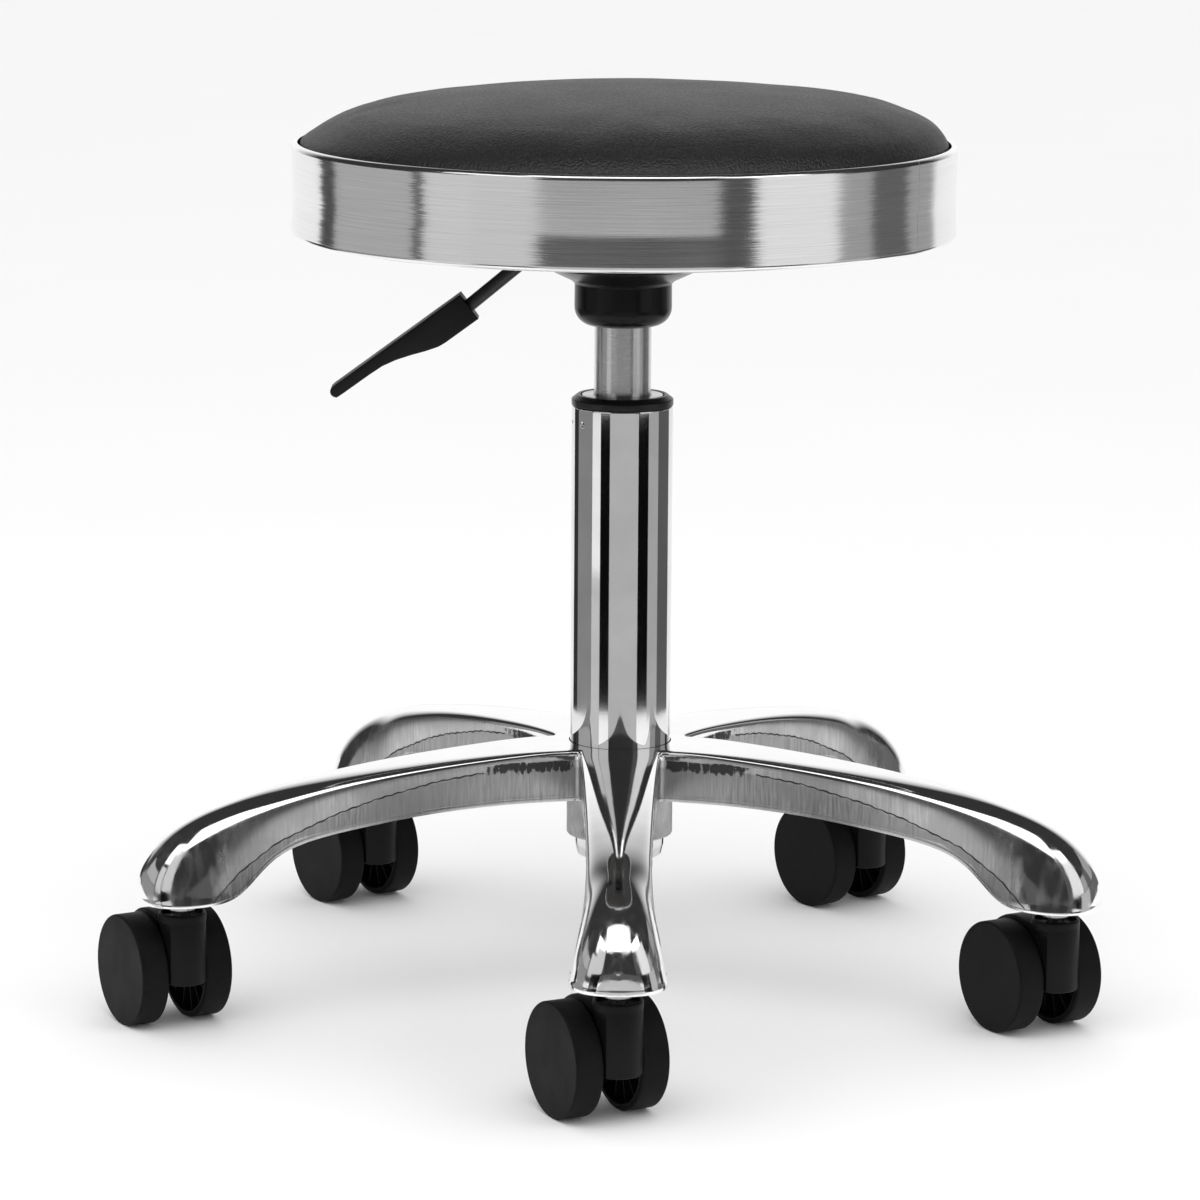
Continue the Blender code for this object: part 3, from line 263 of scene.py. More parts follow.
# ---------------------------------------------------------------- materials: metals
def cast_aluminium():
    """Polished on top and at the feet, satin on the side walls, unpolished in patches whose
    near-black colour is painted shade.
    """
    look = Look("cast_aluminium", Metallic=1.0)
    spot = look.place(shift=AXIS)
    wall, below, raw_and_painted_shade, foot = (look.paint(name) for name in BASE_PAINT)
    streaks = look.grain((900, 900, 60), 3.0, shift=AXIS)
    clouds = look.noise(spot, 45.0, 3.0)
    fine = look.noise(spot, 1400.0, 2.0)
    calm = look.spread(streaks, 0.30, 0.70, 0.54, 0.74)
    marked = look.spread(streaks, 0.32, 0.68, 0.18, 0.72)
    satin = look.blend(look.spread(below, 0.0, 1.0, 0.15, 0.9), calm, marked)
    satin = look.blend(look.spread(clouds, 0.38, 0.62, 0.0, 0.8), satin, 0.46)
    polished = look.blend(look.spread(clouds, 0.3, 0.7), 0.90, 0.94)
    shade = look.blend(wall, polished, satin)
    shade = look.blend(look.times(below, 0.55), shade, 0.28)
    ragged = look.grain((420, 420, 130), 4.0, 0.6, shift=AXIS)
    # Patches high on the walls by the hub are rougher for real; their near-black colour is painted
    # shade between the arms.
    patch = look.spread(look.plus(raw_and_painted_shade, ragged), 1.02, 1.12)
    look.colour(patch, shade, 0.085)
    dull = look.spread(look.grain((260, 260, 50), 3.0, shift=AXIS), 0.42, 0.66, 0.0, 0.12)
    rough = look.plus(look.spread(wall, 0.0, 1.0, 0.060, 0.30), look.times(foot, dull))
    rough = look.plus(rough, look.times(patch, 0.30))
    look.to("Roughness", look.plus(rough, look.spread(fine, 0.3, 0.7, 0.0, 0.02)))
    look.bump(
        (look.noise(spot, 60.0, 1.0), 0.00006),
        (look.times(streaks, look.times(wall, below)), 0.00010),
        (look.times(fine, look.plus(patch, 0.02)), 0.00025),
    )
    return look.material


def rough_casting():
    """Sand-cast inside of the base and its hub boss."""
    look = Look("rough_casting", Metallic=1.0)
    spot = look.place(shift=AXIS)
    sand = look.noise(spot, 900.0, 4.0, 0.65)
    clouds = look.noise(spot, 70.0, 3.0)
    shade = look.blend(look.spread(clouds, 0.3, 0.7), 0.42, 0.62)
    stain = look.spread(look.grain((160, 160, 60), 3.0, shift=AXIS), 0.58, 0.70)
    look.colour(look.times(stain, 0.7), shade, 0.16)
    look.roughness(sand, 0.3, 0.7, 0.34, 0.52)
    look.bump((sand, 0.00018), (clouds, 0.0003))
    return look.material


def chrome():
    look = Look("chrome", Metallic=1.0)
    haze = look.noise(look.place(), 35.0, 3.0)
    look.colour(look.spread(haze, 0.35, 0.65), 0.72, 0.80)
    look.roughness(haze, 0.3, 0.7, 0.035, 0.065)
    look.bump((haze, 0.00002), (look.rings(0.9, 2600, 2.0), 0.0000012))
    return look.material


def ground_steel(name, shift=ORIGIN, dark=0.56, light=0.66):
    """Cylinder and small steel parts, ground round their axis."""
    look = Look(name, Metallic=1.0, Anisotropic=0.8, Anisotropic_Rotation=0.25)
    look.turned()
    marks = look.rings(1.2, 5200, 3.0, shift=shift)
    look.colour(look.spread(look.grain((30, 30, 12), 3.0), 0.35, 0.65), dark, light)
    look.roughness(marks, 0.3, 0.7, 0.20, 0.28)
    look.bump((marks, 0.000008))
    return look.material


def brushed_band():
    """Stainless sheet, brushed along the band, with its closing seam."""
    look = Look("brushed_band", Metallic=1.0, Anisotropic=0.35, Anisotropic_Rotation=0.25)
    look.turned()
    lines = look.rings(3.0, 3600, 4.0, 0.62)
    long_lines = look.rings(1.1, 1500, 3.0, 0.6)
    both = look.plus(look.times(lines, 0.6), look.times(long_lines, 0.4))
    shade = look.blend(look.spread(both, 0.36, 0.64), 0.78, 0.94)
    turn, _ = look.turn_and_height()
    off = look.calc("ABSOLUTE", look.minus(turn, SEAM_TURN))
    seam = look.spread(off, 0.0006, 0.0016, 1.0, 0.0)
    look.colour(look.times(seam, 0.75), shade, 0.10)
    haze = look.spread(look.grain((22, 22, 9), 3.0), 0.4, 0.7, 0.0, 0.05)
    look.to("Roughness", look.plus(look.spread(both, 0.3, 0.7, 0.08, 0.14), haze))
    streak = look.rings(2.4, 2600, 4.0, 0.6, (0, 0, 0.4))
    swing = look.times(look.minus(streak, 0.5), 0.11)
    look.bump((both, 0.000025), (look.minus(1.0, seam), 0.00025), normal=look.sway(swing))
    return look.material


def brass():
    look = Look("brass", Metallic=1.0)
    marks = look.rings(1.0, 4000, 3.0, shift=AXIS)
    look.colour(marks, (0.66, 0.50, 0.23), (0.80, 0.64, 0.34))
    look.roughness(marks, 0.3, 0.7, 0.2, 0.34)
    look.bump((marks, 0.00002))
    return look.material


# ---------------------------------------------------------------- materials: the rest
def plastic(name, shade, low_rough, high_rough, grain_scale, grain_deep, shine):
    """Moulded black plastic with a fine spark-eroded grain."""
    look = Look(name, Specular_IOR_Level=shine)
    spot = look.place()
    clouds = look.noise(spot, 55.0, 3.0)
    look.colour(look.spread(clouds, 0.35, 0.65), shade, shade * 1.35)
    look.roughness(clouds, 0.3, 0.7, low_rough, high_rough)
    look.bump((look.noise(spot, grain_scale, 3.0, 0.6), grain_deep))
    return look.material


def leather():
    """Black coated leather with pebbled grain, softly worn on the crown."""
    look = Look("leather", Specular_IOR_Level=0.86)
    spot = look.place()
    push = look.vector("SCALE", {0: look.noise(spot, 160.0, 2.0), "Scale": 0.0016})
    bent = look.vector("ADD", {0: spot, 1: push})
    pebbles = look.cells(bent, 760.0, 0.35)
    small = look.cells(bent, 1500.0)
    folds = look.noise(spot, 90.0, 3.0)
    clouds = look.noise(spot, 24.0, 3.0)
    shade = look.blend(look.spread(pebbles, 0.25, 0.60), 0.006, 0.003)
    look.colour(look.spread(clouds, 0.35, 0.7, 0.0, 0.4), shade, 0.009)
    rough = look.spread(pebbles, 0.15, 0.6, 0.36, 0.50)
    look.to("Roughness", look.plus(rough, look.spread(clouds, 0.35, 0.7, 0.0, 0.05)))
    look.bump(
        (folds, 0.00020), (look.minus(1.0, pebbles), 0.00040), (look.minus(1.0, small), 0.00010))
    return look.material


def stained_board():
    """Plywood stained black, its grain and plies still faintly showing."""
    look = Look("stained_board")
    ply = look.grain((6, 6, 700), 2.0)
    veins = look.grain((60, 7, 60), 4.0, 0.6, 1.2)
    shade = look.blend(
        look.spread(veins, 0.3, 0.7), (0.012, 0.011, 0.010), (0.026, 0.022, 0.019))
    look.colour(look.spread(ply, 0.45, 0.55, 0.0, 0.35), shade, 0.008)
    look.roughness(veins, 0.3, 0.7, 0.52, 0.68)
    look.bump((veins, 0.0003))
    return look.material


def painted_steel():
    look = Look("painted_steel")
    dust = look.noise(look.place(), 60.0, 3.0)
    look.colour(look.spread(dust, 0.4, 0.7), 0.012, 0.022)
    look.roughness(dust, 0.3, 0.7, 0.30, 0.42)
    look.bump((look.noise(look.place(), 420.0, 2.0), 0.00012))
    return look.material


def rubber():
    look = Look("rubber")
    fine = look.noise(look.place(), 800.0, 3.0)
    look.colour(fine, 0.014, 0.028)
    look.roughness(fine, 0.3, 0.7, 0.70, 0.85)
    look.bump((fine, 0.0001))
    return look.material


# ---------------------------------------------------------------- shape helpers
def add_object(name, data):
    obj = bpy.data.objects.new(name, data)
    bpy.context.scene.collection.objects.link(obj)
    return obj


def smooth_mesh(name, shape, sharp=35):
    """Turn a bmesh into a smooth-shaded mesh; edges above the angle stay sharp."""
    bmesh.ops.recalc_face_normals(shape, faces=shape.faces)
    mesh = bpy.data.meshes.new(name)
    shape.to_mesh(mesh)
    shape.free()
    mesh.shade_smooth()
    mesh.set_sharp_from_angle(angle=math.radians(sharp))
    return mesh


def new_piece(name, shape, place=(0, 0, 0), sharp=35):
    obj = add_object(name, smooth_mesh(name, shape, sharp))
    obj.location = place
    return obj


def settle(obj, material, body, slot, *nodes):
    """Give a finished piece its material, its body and the nodes it replaces; the slot is not used.
    """
    obj.data.materials.clear()
    obj.data.materials.append(material)
    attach(obj, body)
    if nodes:
        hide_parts(*nodes)


def rounded(corners, steps=5):
    """Turn profile corners (radius, height, rounding) into points, with arcs at corners."""
    points = []
    for index, (radius, height, size) in enumerate(corners):
        here = Vector((radius, height))
        if size == 0:
            points.append((radius, height))
            continue
        before = (Vector(corners[index - 1][:2]) - here).normalized()
        after = (Vector(corners[(index + 1) % len(corners)][:2]) - here).normalized()
        half = before.angle(after) / 2
        centre = here + (before + after).normalized() * (size / math.sin(half))
        start = here + before * (size / math.tan(half)) - centre
        end = here + after * (size / math.tan(half)) - centre
        first = math.atan2(start.y, start.x)
        sweep = (math.atan2(end.y, end.x) - first + math.pi) % math.tau - math.pi
        for k in range(steps + 1):
            angle = first + sweep * k / steps
            points.append((centre.x + size * math.cos(angle), centre.y + size * math.sin(angle)))
    return points


BRACE = 0.0004


def braced(profile):
    """Add a point close to each end of long straights, so that they shade as straights."""
    points = []
    for index, point in enumerate(profile):
        start, end = Vector(point), Vector(profile[(index + 1) % len(profile)])
        points.append(start)
        length = (end - start).length
        if length > 6 * BRACE:
            points.append(start.lerp(end, BRACE / length))
            points.append(end.lerp(start, BRACE / length))
    return points


ON_AXIS = 1e-7


def polar(radius, angle, height):
    return Vector((radius * math.cos(angle), radius * math.sin(angle), height))


def add_lathe(shape, profile, steps=128):
    """Turn (radius, height) points about Z inside a bmesh; a profile off the axis closes."""
    closed = profile[0][0] > ON_AXIS or profile[-1][0] > ON_AXIS
    profile = braced(profile)
    while not closed and profile[-1][0] < ON_AXIS and profile[-2][0] < ON_AXIS:
        profile.pop()
    rings = [
        [
            shape.verts.new(polar(radius, math.tau * k / steps, height))
            for k in range(1 if radius < ON_AXIS else steps)
        ]
        for radius, height in profile
    ]
    pairs = list(zip(rings, rings[1:]))
    if len(rings[0]) > 1 or len(rings[-1]) > 1:
        pairs.append((rings[-1], rings[0]))
    for upper, lower in pairs:
        for k in range(steps):
            after = (k + 1) % steps
            corners = (
                upper[k % len(upper)], lower[k % len(lower)], lower[after % len(lower)],
                upper[after % len(upper)],
            )
            unique = list(dict.fromkeys(corners))
            if len(unique) > 2:
                shape.faces.new(unique)


def lathe(name, corners, steps=128):
    shape = bmesh.new()
    add_lathe(shape, rounded(corners), steps)
    return new_piece(name, shape, AXIS)


def add_prism(shape, outline, low, high, rounding):
    """Extrude an outline of (x, y) points along Z with rounded upper and lower edges."""
    turns = [math.radians(degrees) for degrees in (0, 30, 60, 90)]
    levels = [(rounding * (1 - math.sin(a)), low + rounding * (1 - math.cos(a))) for a in turns]
    levels += [(inset, low + high - height) for inset, height in reversed(levels)]
    add_rings(shape, [
        [(x, y, height) for x, y in inset_outline(outline, inset)] for inset, height in levels
    ])


def add_rings(shape, rings):
    """Join rings of points into a closed body."""
    rings = [[shape.verts.new(point) for point in ring] for ring in rings]
    for near, far in zip(rings, rings[1:]):
        for k in range(len(near)):
            after = (k + 1) % len(near)
            shape.faces.new((near[k], near[after], far[after], far[k]))
    shape.faces.new(rings[0])
    shape.faces.new(rings[-1])


def inset_outline(outline, inset):
    """Move every side of a closed outline inwards by a distance."""
    count = len(outline)
    area = sum(
        outline[k][0] * outline[(k + 1) % count][1] - outline[(k + 1) % count][0] * outline[k][1]
        for k in range(count)
    )
    side = 1 if area > 0 else -1
    result = []
    for k in range(count):
        before, here, after = (Vector(outline[(k + j) % count]) for j in (-1, 0, 1))
        first = (here - before).normalized()
        second = (after - here).normalized()
        first_in = Vector((-first.y, first.x)) * side
        second_in = Vector((-second.y, second.x)) * side
        middle = first_in + second_in
        result.append(here + middle * (inset / max(0.2, 1 + first_in.dot(second_in))))
    return result


def arc(centre_x, centre_y, radius, start, end, count):
    """Points of a circular arc, angles in degrees."""
    angles = [math.radians(start + (end - start) * k / count) for k in range(count + 1)]
    return [(centre_x + radius * math.cos(a), centre_y + radius * math.sin(a)) for a in angles]


def final_mesh(obj):
    """The mesh of an object after its modifiers."""
    bpy.context.view_layer.update()
    depsgraph = bpy.context.evaluated_depsgraph_get()
    return bpy.data.meshes.new_from_object(obj.evaluated_get(depsgraph))


def apply_modifiers(obj):
    mesh = final_mesh(obj)
    obj.modifiers.clear()
    obj.data = mesh


# ---------------------------------------------------------------- cast base
def arm_section(station):
    """Control points across an arm, from rim to rim over the crown: (offset, height)."""
    _, rim_half, rim, *side, crown = station
    share = (BEAD_HIGH + BEAD_STEP) / (side[0][1] - rim)
    wall_foot = rim_half + (side[0][0] - rim_half) * share
    side = [
        (rim_half + BEAD_OUT, rim),
        (rim_half + BEAD_OUT, rim + BEAD_HIGH),
        (wall_foot, rim + BEAD_HIGH + BEAD_STEP),
        *side,
    ]
    return [(-v, z) for v, z in side] + [(0, crown)] + side[::-1]


def crotch_section():
    """Control points on the line between two arms, from rim to hub edge: (radius, height)."""
    foot_r = CROTCH_R - 0.0008
    return [
        (foot_r + BEAD_OUT, HUB_RIM),
        (foot_r + BEAD_OUT, HUB_RIM + BEAD_HIGH),
        (foot_r, HUB_RIM + BEAD_HIGH + BEAD_STEP),
        (CROTCH_R, HUB_TOP - 0.0034),
        (CROTCH_R - 0.0003, HUB_TOP - 0.0012),
        (CROTCH_R - 0.0014, HUB_TOP - 0.0002),
    ]


def base_skin():
    """Control cage of the casting's outer skin, open below and round the tube."""
    shape = bmesh.new()
    ring = [
        shape.verts.new(polar(TUBE_R + HUB_GAP, angle + turn * SECTOR, HUB_TOP))
        for angle in ARM_ANGLES for turn in (-0.5, -0.25, 0, 0.25)
    ]
    crotches = [
        [shape.verts.new(polar(r, angle - SECTOR / 2, z)) for r, z in crotch_section()]
        for angle in ARM_ANGLES
    ]
    for index, angle in enumerate(ARM_ANGLES):
        along = polar(1, angle, 0)
        across = polar(1, angle + math.pi / 2, 0)
        right, left = crotches[index], crotches[(index + 1) % ARM_COUNT]
        near = [
            shape.verts.new(along * u + across * v + Vector((0, 0, HUB_TOP)))
            for u, v in ((0.0292, -0.0110), (0.0302, 0), (0.0292, 0.0110))
        ]
        rows = [right + near + left[::-1]]
        for station in ARM_STATIONS:
            rows.append([
                shape.verts.new(along * station[0] + across * v + Vector((0, 0, z)))
                for v, z in arm_section(station)
            ])
        rows.append(tip_row(shape, along))
        for row, further in zip(rows, rows[1:]):
            for k in range(len(row) - 1):
                corners = (row[k], further[k], further[k + 1], row[k + 1])
                shape.faces.new(list(dict.fromkeys(corners)))
        inner = [ring[(4 * index + k) % len(ring)] for k in range(5)]
        edge = rows[0][5:10]
        for k in range(4):
            shape.faces.new((inner[k], edge[k], edge[k + 1], inner[k + 1]))
    return shape


def tip_row(shape, along):
    """The nose of a foot: one upright line that both sides of the arm run into."""
    heights = (FOOT_RIM, FOOT_RIM + BEAD_HIGH, 0.0690, 0.0700, 0.0712, 0.0725, FOOT_TIP_TOP)
    reaches = (BEAD_OUT, BEAD_OUT, 0, 0, -0.0001, -0.0004, -0.0010)
    side = [
        shape.verts.new(along * (FOOT_TIP + out) + Vector((0, 0, z)))
        for z, out in zip(heights, reaches)
    ]
    return side + side[-1:] + side[::-1]


def arm_distance(point):
    """Distance of a point from the column axis, measured along the nearest arm."""
    angle = math.atan2(point.y, point.x) - FIRST_ARM
    turn = (angle + SECTOR / 2) % SECTOR - SECTOR / 2
    return math.hypot(point.x, point.y) * math.cos(turn)


def along_stations(distance, column):
    """A station value (counted within the station), interpolated along the arm."""
    for near, far in zip(ARM_STATIONS, ARM_STATIONS[1:]):
        if distance <= far[0]:
            share = max(0.0, (distance - near[0]) / (far[0] - near[0]))
            return near[column] + (far[column] - near[column]) * share
    return ARM_STATIONS[-1][column]


def parting_height(distance):
    """Height of the mould's parting line on the side wall of an arm."""
    if distance <= PARTING_KNOTS[0][0]:
        return PARTING_KNOTS[0][1]
    for (near, low), (far, high) in zip(PARTING_KNOTS, PARTING_KNOTS[1:]):
        if distance <= far:
            return low + (high - low) * (distance - near) / (far - near)
    return 0.0


def ease(value, low, high):
    share = min(1.0, max(0.0, (value - low) / (high - low)))
    return share * share * (3 - 2 * share)


def paint_base(obj):
    """Vertex attributes: satin side walls, below the parting line, unpolished patches with painted
    shade, feet.
    """
    mesh = obj.data
    for name in BASE_PAINT:
        mesh.attributes.new(name, "FLOAT", "POINT")
    layers = [mesh.attributes[name].data for name in BASE_PAINT]
    for vertex in mesh.vertices:
        distance = arm_distance(vertex.co)
        crown = along_stations(distance, CROWN)
        rim = along_stations(distance, RIM)
        upright = 1 - ease(abs(vertex.normal.z), 0.25, 0.60)
        over_bead = 0.5 + 0.5 * ease(vertex.co.z, rim + 0.0016, rim + 0.0026)
        under_edge = 1 - ease(vertex.co.z, crown - 0.0050, crown - 0.0040)
        arm_part = 1 - ease(distance, 0.200, 0.216)
        wall = upright * over_bead * under_edge * arm_part
        below = wall * ease(parting_height(distance) - vertex.co.z, 0.0, 0.0006)
        high_up = ease(vertex.co.z, crown - 0.0150, crown - 0.0075)
        by_hub = ease(distance, 0.024, 0.034) * (1 - ease(distance, 0.062, 0.095))
        # Unpolished patches high on the walls by the hub, between the arms; the material paints
        # them near black as shade.
        raw_and_painted_shade = 0.72 * wall * high_up * by_hub
        foot = ease(distance, 0.180, 0.205) * (1 - ease(vertex.co.z, 0.090, 0.112))
        for layer, value in zip(layers, (wall, below, raw_and_painted_shade, foot)):
            layer[vertex.index].value = value


def make_base():
    skin = new_piece("base_casting", base_skin(), AXIS)
    smooth = skin.modifiers.new("smooth", "SUBSURF")
    smooth.levels = smooth.render_levels = 3
    smooth.boundary_smooth = "PRESERVE_CORNERS"
    apply_modifiers(skin)
    round_hub_hole(skin)
    paint_base(skin)
    skin.data.shade_smooth()
    wall = skin.modifiers.new("wall", "SOLIDIFY")
    wall.thickness = BASE_WALL
    wall.offset = -1.0
    wall.use_rim = True
    apply_modifiers(skin)
    skin.data.shade_smooth()
    skin.data.set_sharp_from_angle(angle=math.radians(50))
    settle(skin, CAST_ALUMINIUM, "root", "polished_aluminium", "star_base")
    make_base_inside()
    make_parting_lines(skin)


def round_hub_hole(skin):
    """Put the edge of the hub's hole on an exact circle, a hair outside the tube."""
    for vertex in skin.data.vertices:
        reach = math.hypot(vertex.co.x, vertex.co.y)
        if reach < TUBE_R + HUB_GAP + 0.0001 and vertex.co.z > HUB_RIM:
            vertex.co.x *= (TUBE_R + HUB_GAP) / reach
            vertex.co.y *= (TUBE_R + HUB_GAP) / reach


def make_base_inside():
    """Hub boss, stem bosses and stiffening ribs under the arms."""
    boss_top = HUB_RIM + 0.0180
    hub = lathe("base_hub_boss", [
        (BOSS_R, boss_top, 0), (BOSS_R, BOSS_LOW, 0.0010), (0.0232, BOSS_LOW, 0.0006),
        (0.0252, boss_top, 0),
    ])
    settle(hub, ROUGH_CASTING, "root", "polished_aluminium")
    ribs, bosses = bmesh.new(), bmesh.new()
    for angle in ARM_ANGLES:
        part = bmesh.new()
        add_lathe(part, rounded([
            (FOOT_BOSS_R, FOOT_BOSS_TOP, 0), (FOOT_BOSS_R, FOOT_BOSS_LOW, 0.0016),
            (STEM_HOLE_R, FOOT_BOSS_LOW, 0.0004), (STEM_HOLE_R, FOOT_BOSS_TOP, 0),
        ]), 64)
        append(bosses, part, Matrix.Translation(polar(STEM_CIRCLE, angle, 0)))
        plates = []
        for distance in RIB_PLACES:
            half = along_stations(distance, RIM_HALF) - 0.0016
            low = along_stations(distance, RIM) + 0.0060
            high = along_stations(distance, CROWN) - 0.0090
            plates.append(((distance - RIB_HALF, -half, low), (distance + RIB_HALF, half, high)))
        plates += [
            ((0.0270, -RIB_HALF, HUB_RIM + 0.0040), (RIB_PLACES[0], RIB_HALF, HUB_TOP - 0.0022)),
            ((0.2000, -RIB_HALF, 0.0720), (STEM_CIRCLE - 0.0085, RIB_HALF, 0.0940)),
        ]
        for low_corner, high_corner in plates:
            append(ribs, box(low_corner, high_corner), Matrix.Rotation(angle, 4, "Z"))
    settle(new_piece("base_ribs", ribs, AXIS), ROUGH_CASTING, "root", "polished_aluminium")
    settle(new_piece("base_stem_bosses", bosses, AXIS), GROUND_STEEL, "root", "polished_aluminium")


def box(low, high):
    """A plate between two corners with softened edges."""
    part = bmesh.new()
    low, high = Vector(low), Vector(high)
    size = Matrix.Diagonal((*(high - low), 1))
    bmesh.ops.create_cube(part, size=1, matrix=Matrix.Translation((low + high) / 2) @ size)
    least = min(high - low)
    bmesh.ops.bevel(part, geom=part.edges[:], offset=least * 0.2, segments=2, affect="EDGES")
    return part


def append(target, part, matrix):
    """Add a bmesh, moved by a matrix, to another one."""
    mesh = bpy.data.meshes.new("part")
    part.to_mesh(mesh)
    part.free()
    mesh.transform(matrix)
    target.from_mesh(mesh)
    bpy.data.meshes.remove(mesh)


def make_parting_lines(skin):
    """The thin broken flash that the mould left on both walls of every arm."""
    tree = BVHTree.FromPolygons(
        [v.co.copy() for v in skin.data.vertices], [p.vertices[:] for p in skin.data.polygons],
    )
    shape = bmesh.new()
    for index, angle in enumerate(ARM_ANGLES):
        along, across = polar(1, angle, 0), polar(1, angle + math.pi / 2, 0)
        for side in (-1, 1):
            line = []
            for k in range(FLASH_STEPS + 1):
                distance = FLASH_START + (FLASH_END - FLASH_START) * k / FLASH_STEPS
                start = along * distance + across * side * 0.05
                start.z = parting_height(distance) + 0.00025 * math.sin(k * 1.7 + index)
                hit, normal, _, _ = tree.ray_cast(start, -across * side)
                if hit is not None:
                    line.append((hit, normal))
            add_flash(shape, line, index * 7 + side)
    flash = new_piece("base_parting_line", shape, AXIS, 60)
    settle(flash, PAINTED_STEEL, "root", "polished_aluminium")


def add_flash(shape, line, phase):
    """A low ridge along surface points; its height wavers so that it looks broken."""
    rings = []
    for k, (point, normal) in enumerate(line):
        ahead = line[min(k + 1, len(line) - 1)][0] - line[max(k - 1, 0)][0]
        up = normal.cross(ahead).normalized()
        waver = 0.5 + 0.5 * math.sin(k * 0.9 + phase) * math.sin(k * 0.37 + 2 * phase)
        wide, tall = 0.00034 + 0.00026 * waver, 0.00008 + 0.00024 * waver
        rings.append([
            point + up * (wide * share) + normal * height
            for share, height in ((1, -0.0002), (0.5, tall), (-0.5, tall), (-1, -0.0002))
        ])
    add_rings(shape, rings)


# ---------------------------------------------------------------- column
SLIDE_R = CYLINDER_R + 0.0003          # bore that the cylinder slides in
DIMPLE_TURNS, DIMPLE_R, DIMPLE_DEEP = (-142, -167, 10, 100), 0.0018, 0.0004


def make_column():
    """Chrome outer tube with its crimp marks, black collar, ring and gas cylinder."""
    taper_r, bore_r, rod_hole_r = 0.0222, 0.0232, 0.0045
    floor_low, floor_top = 0.0790, 0.0815
    marked = [(TUBE_R, TUBE_TOP - 0.0045 - 0.0005 * k, 0) for k in range(15)]
    tube = lathe("column_tube", [
        (TUBE_R, TUBE_TOP, 0.0005), *marked, (TUBE_R, HUB_TOP, 0),
        (taper_r, TUBE_END + 0.0050, 0.0020), (taper_r - 0.0012, TUBE_END, 0.0008),
        (0.0192, TUBE_END, 0.0004), (0.0192, floor_low, 0), (rod_hole_r, floor_low, 0),
        (rod_hole_r, floor_top, 0), (0.0204, floor_top, 0), (bore_r, HUB_TOP, 0),
        (bore_r, TUBE_TOP, 0.0003),
    ], 256)
    press_dimples(tube)
    settle(tube, CHROME, "root", "polished_chrome", "lift_tube")
    collar_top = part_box("guide_bushing")[1].z
    collar_r, sleeve_r, rest = 0.0251, 0.0228, TUBE_TOP + 0.0003
    collar = lathe("column_collar", [
        (0.0222, collar_top, 0.0006), (collar_r, collar_top - 0.0022, 0.0008),
        (collar_r, rest, 0.0003), (sleeve_r, rest, 0), (sleeve_r, 0.2320, 0.0004),
        (SLIDE_R, 0.2320, 0), (SLIDE_R, collar_top - 0.0019, 0),
        (0.0207, collar_top - 0.0019, 0), (0.0207, collar_top - 0.0002, 0.0002),
    ])
    settle(collar, COLLAR_PLASTIC, "root", "matte_black_plastic", "guide_bushing")
    ring = lathe("column_ring", [
        (0.0200, collar_top - 0.0002, 0.0003), (0.0200, collar_top - 0.0016, 0),
        (SLIDE_R, collar_top - 0.0016, 0), (SLIDE_R, collar_top - 0.0002, 0.0002),
    ])
    settle(ring, SATIN_RING, "root", "machined_aluminium", "bushing_insert_ring")
    cylinder = lathe("cylinder_shell", [
        (0.0124, CYLINDER_TOP, 0.0006), (CYLINDER_R, 0.3450, 0),
        (CYLINDER_R, CYLINDER_END, 0.0006), (0.0122, CYLINDER_END, 0.0002),
        (0.0122, 0.3430, 0), (0.0037, 0.3490, 0), (0.0037, CYLINDER_TOP, 0),
    ])
    settle(cylinder, GROUND_STEEL, "seat", "satin_steel", "gas_cylinder")


def press_dimples(tube):
    """Small round crimp marks pressed into the tube just under its collar."""
    height = TUBE_TOP - 0.0077
    for turn in DIMPLE_TURNS:
        centre = polar(TUBE_R, math.radians(turn), height)
        for vertex in tube.data.vertices:
            away = (vertex.co - centre).length
            if away < DIMPLE_R:
                depth = DIMPLE_DEEP * (1 - ease(away, 0.0004, DIMPLE_R))
                inward = Vector((-vertex.co.x, -vertex.co.y, 0)).normalized()
                vertex.co += inward * depth


# ---------------------------------------------------------------- seat
def make_bell():
    """Moulded cover of the cylinder head: rounded cup, neck and shallow dish."""
    low, neck, dish_r, wall = 0.3397, 0.3607, 0.0400, 0.0018
    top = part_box("bell_cover")[1].z
    shape = bmesh.new()
    add_lathe(shape, rounded([
        (dish_r, top, 0.0004), (dish_r, 0.3688, 0.0010), (0.0256, 0.3620, 0.0016),
        (0.0239, neck - 0.0004, 0.0006), (0.0240, low, 0.0090), (SLIDE_R, low, 0.0006),
        (SLIDE_R, low + wall, 0), (0.0222, low + wall, 0.0070), (0.0222, neck, 0.0008),
        (dish_r - wall, 0.3704, 0.0006), (dish_r - wall, top, 0),
    ], 8))
    bell = new_piece("bell", shape, AXIS)
    window = new_piece("window", box((-0.0500, -0.0065, 0.3722), (-0.0250, 0.0065, 0.4000)), AXIS)
    slot = bell.modifiers.new("slot", "BOOLEAN")
    slot.object = window
    slot.operation = "DIFFERENCE"
    apply_modifiers(bell)
    bpy.data.objects.remove(window)
    bell.data.set_sharp_from_angle(angle=math.radians(35))
    settle(bell, GLOSS_PLASTIC, "seat", "gloss_black_plastic", "bell_cover")


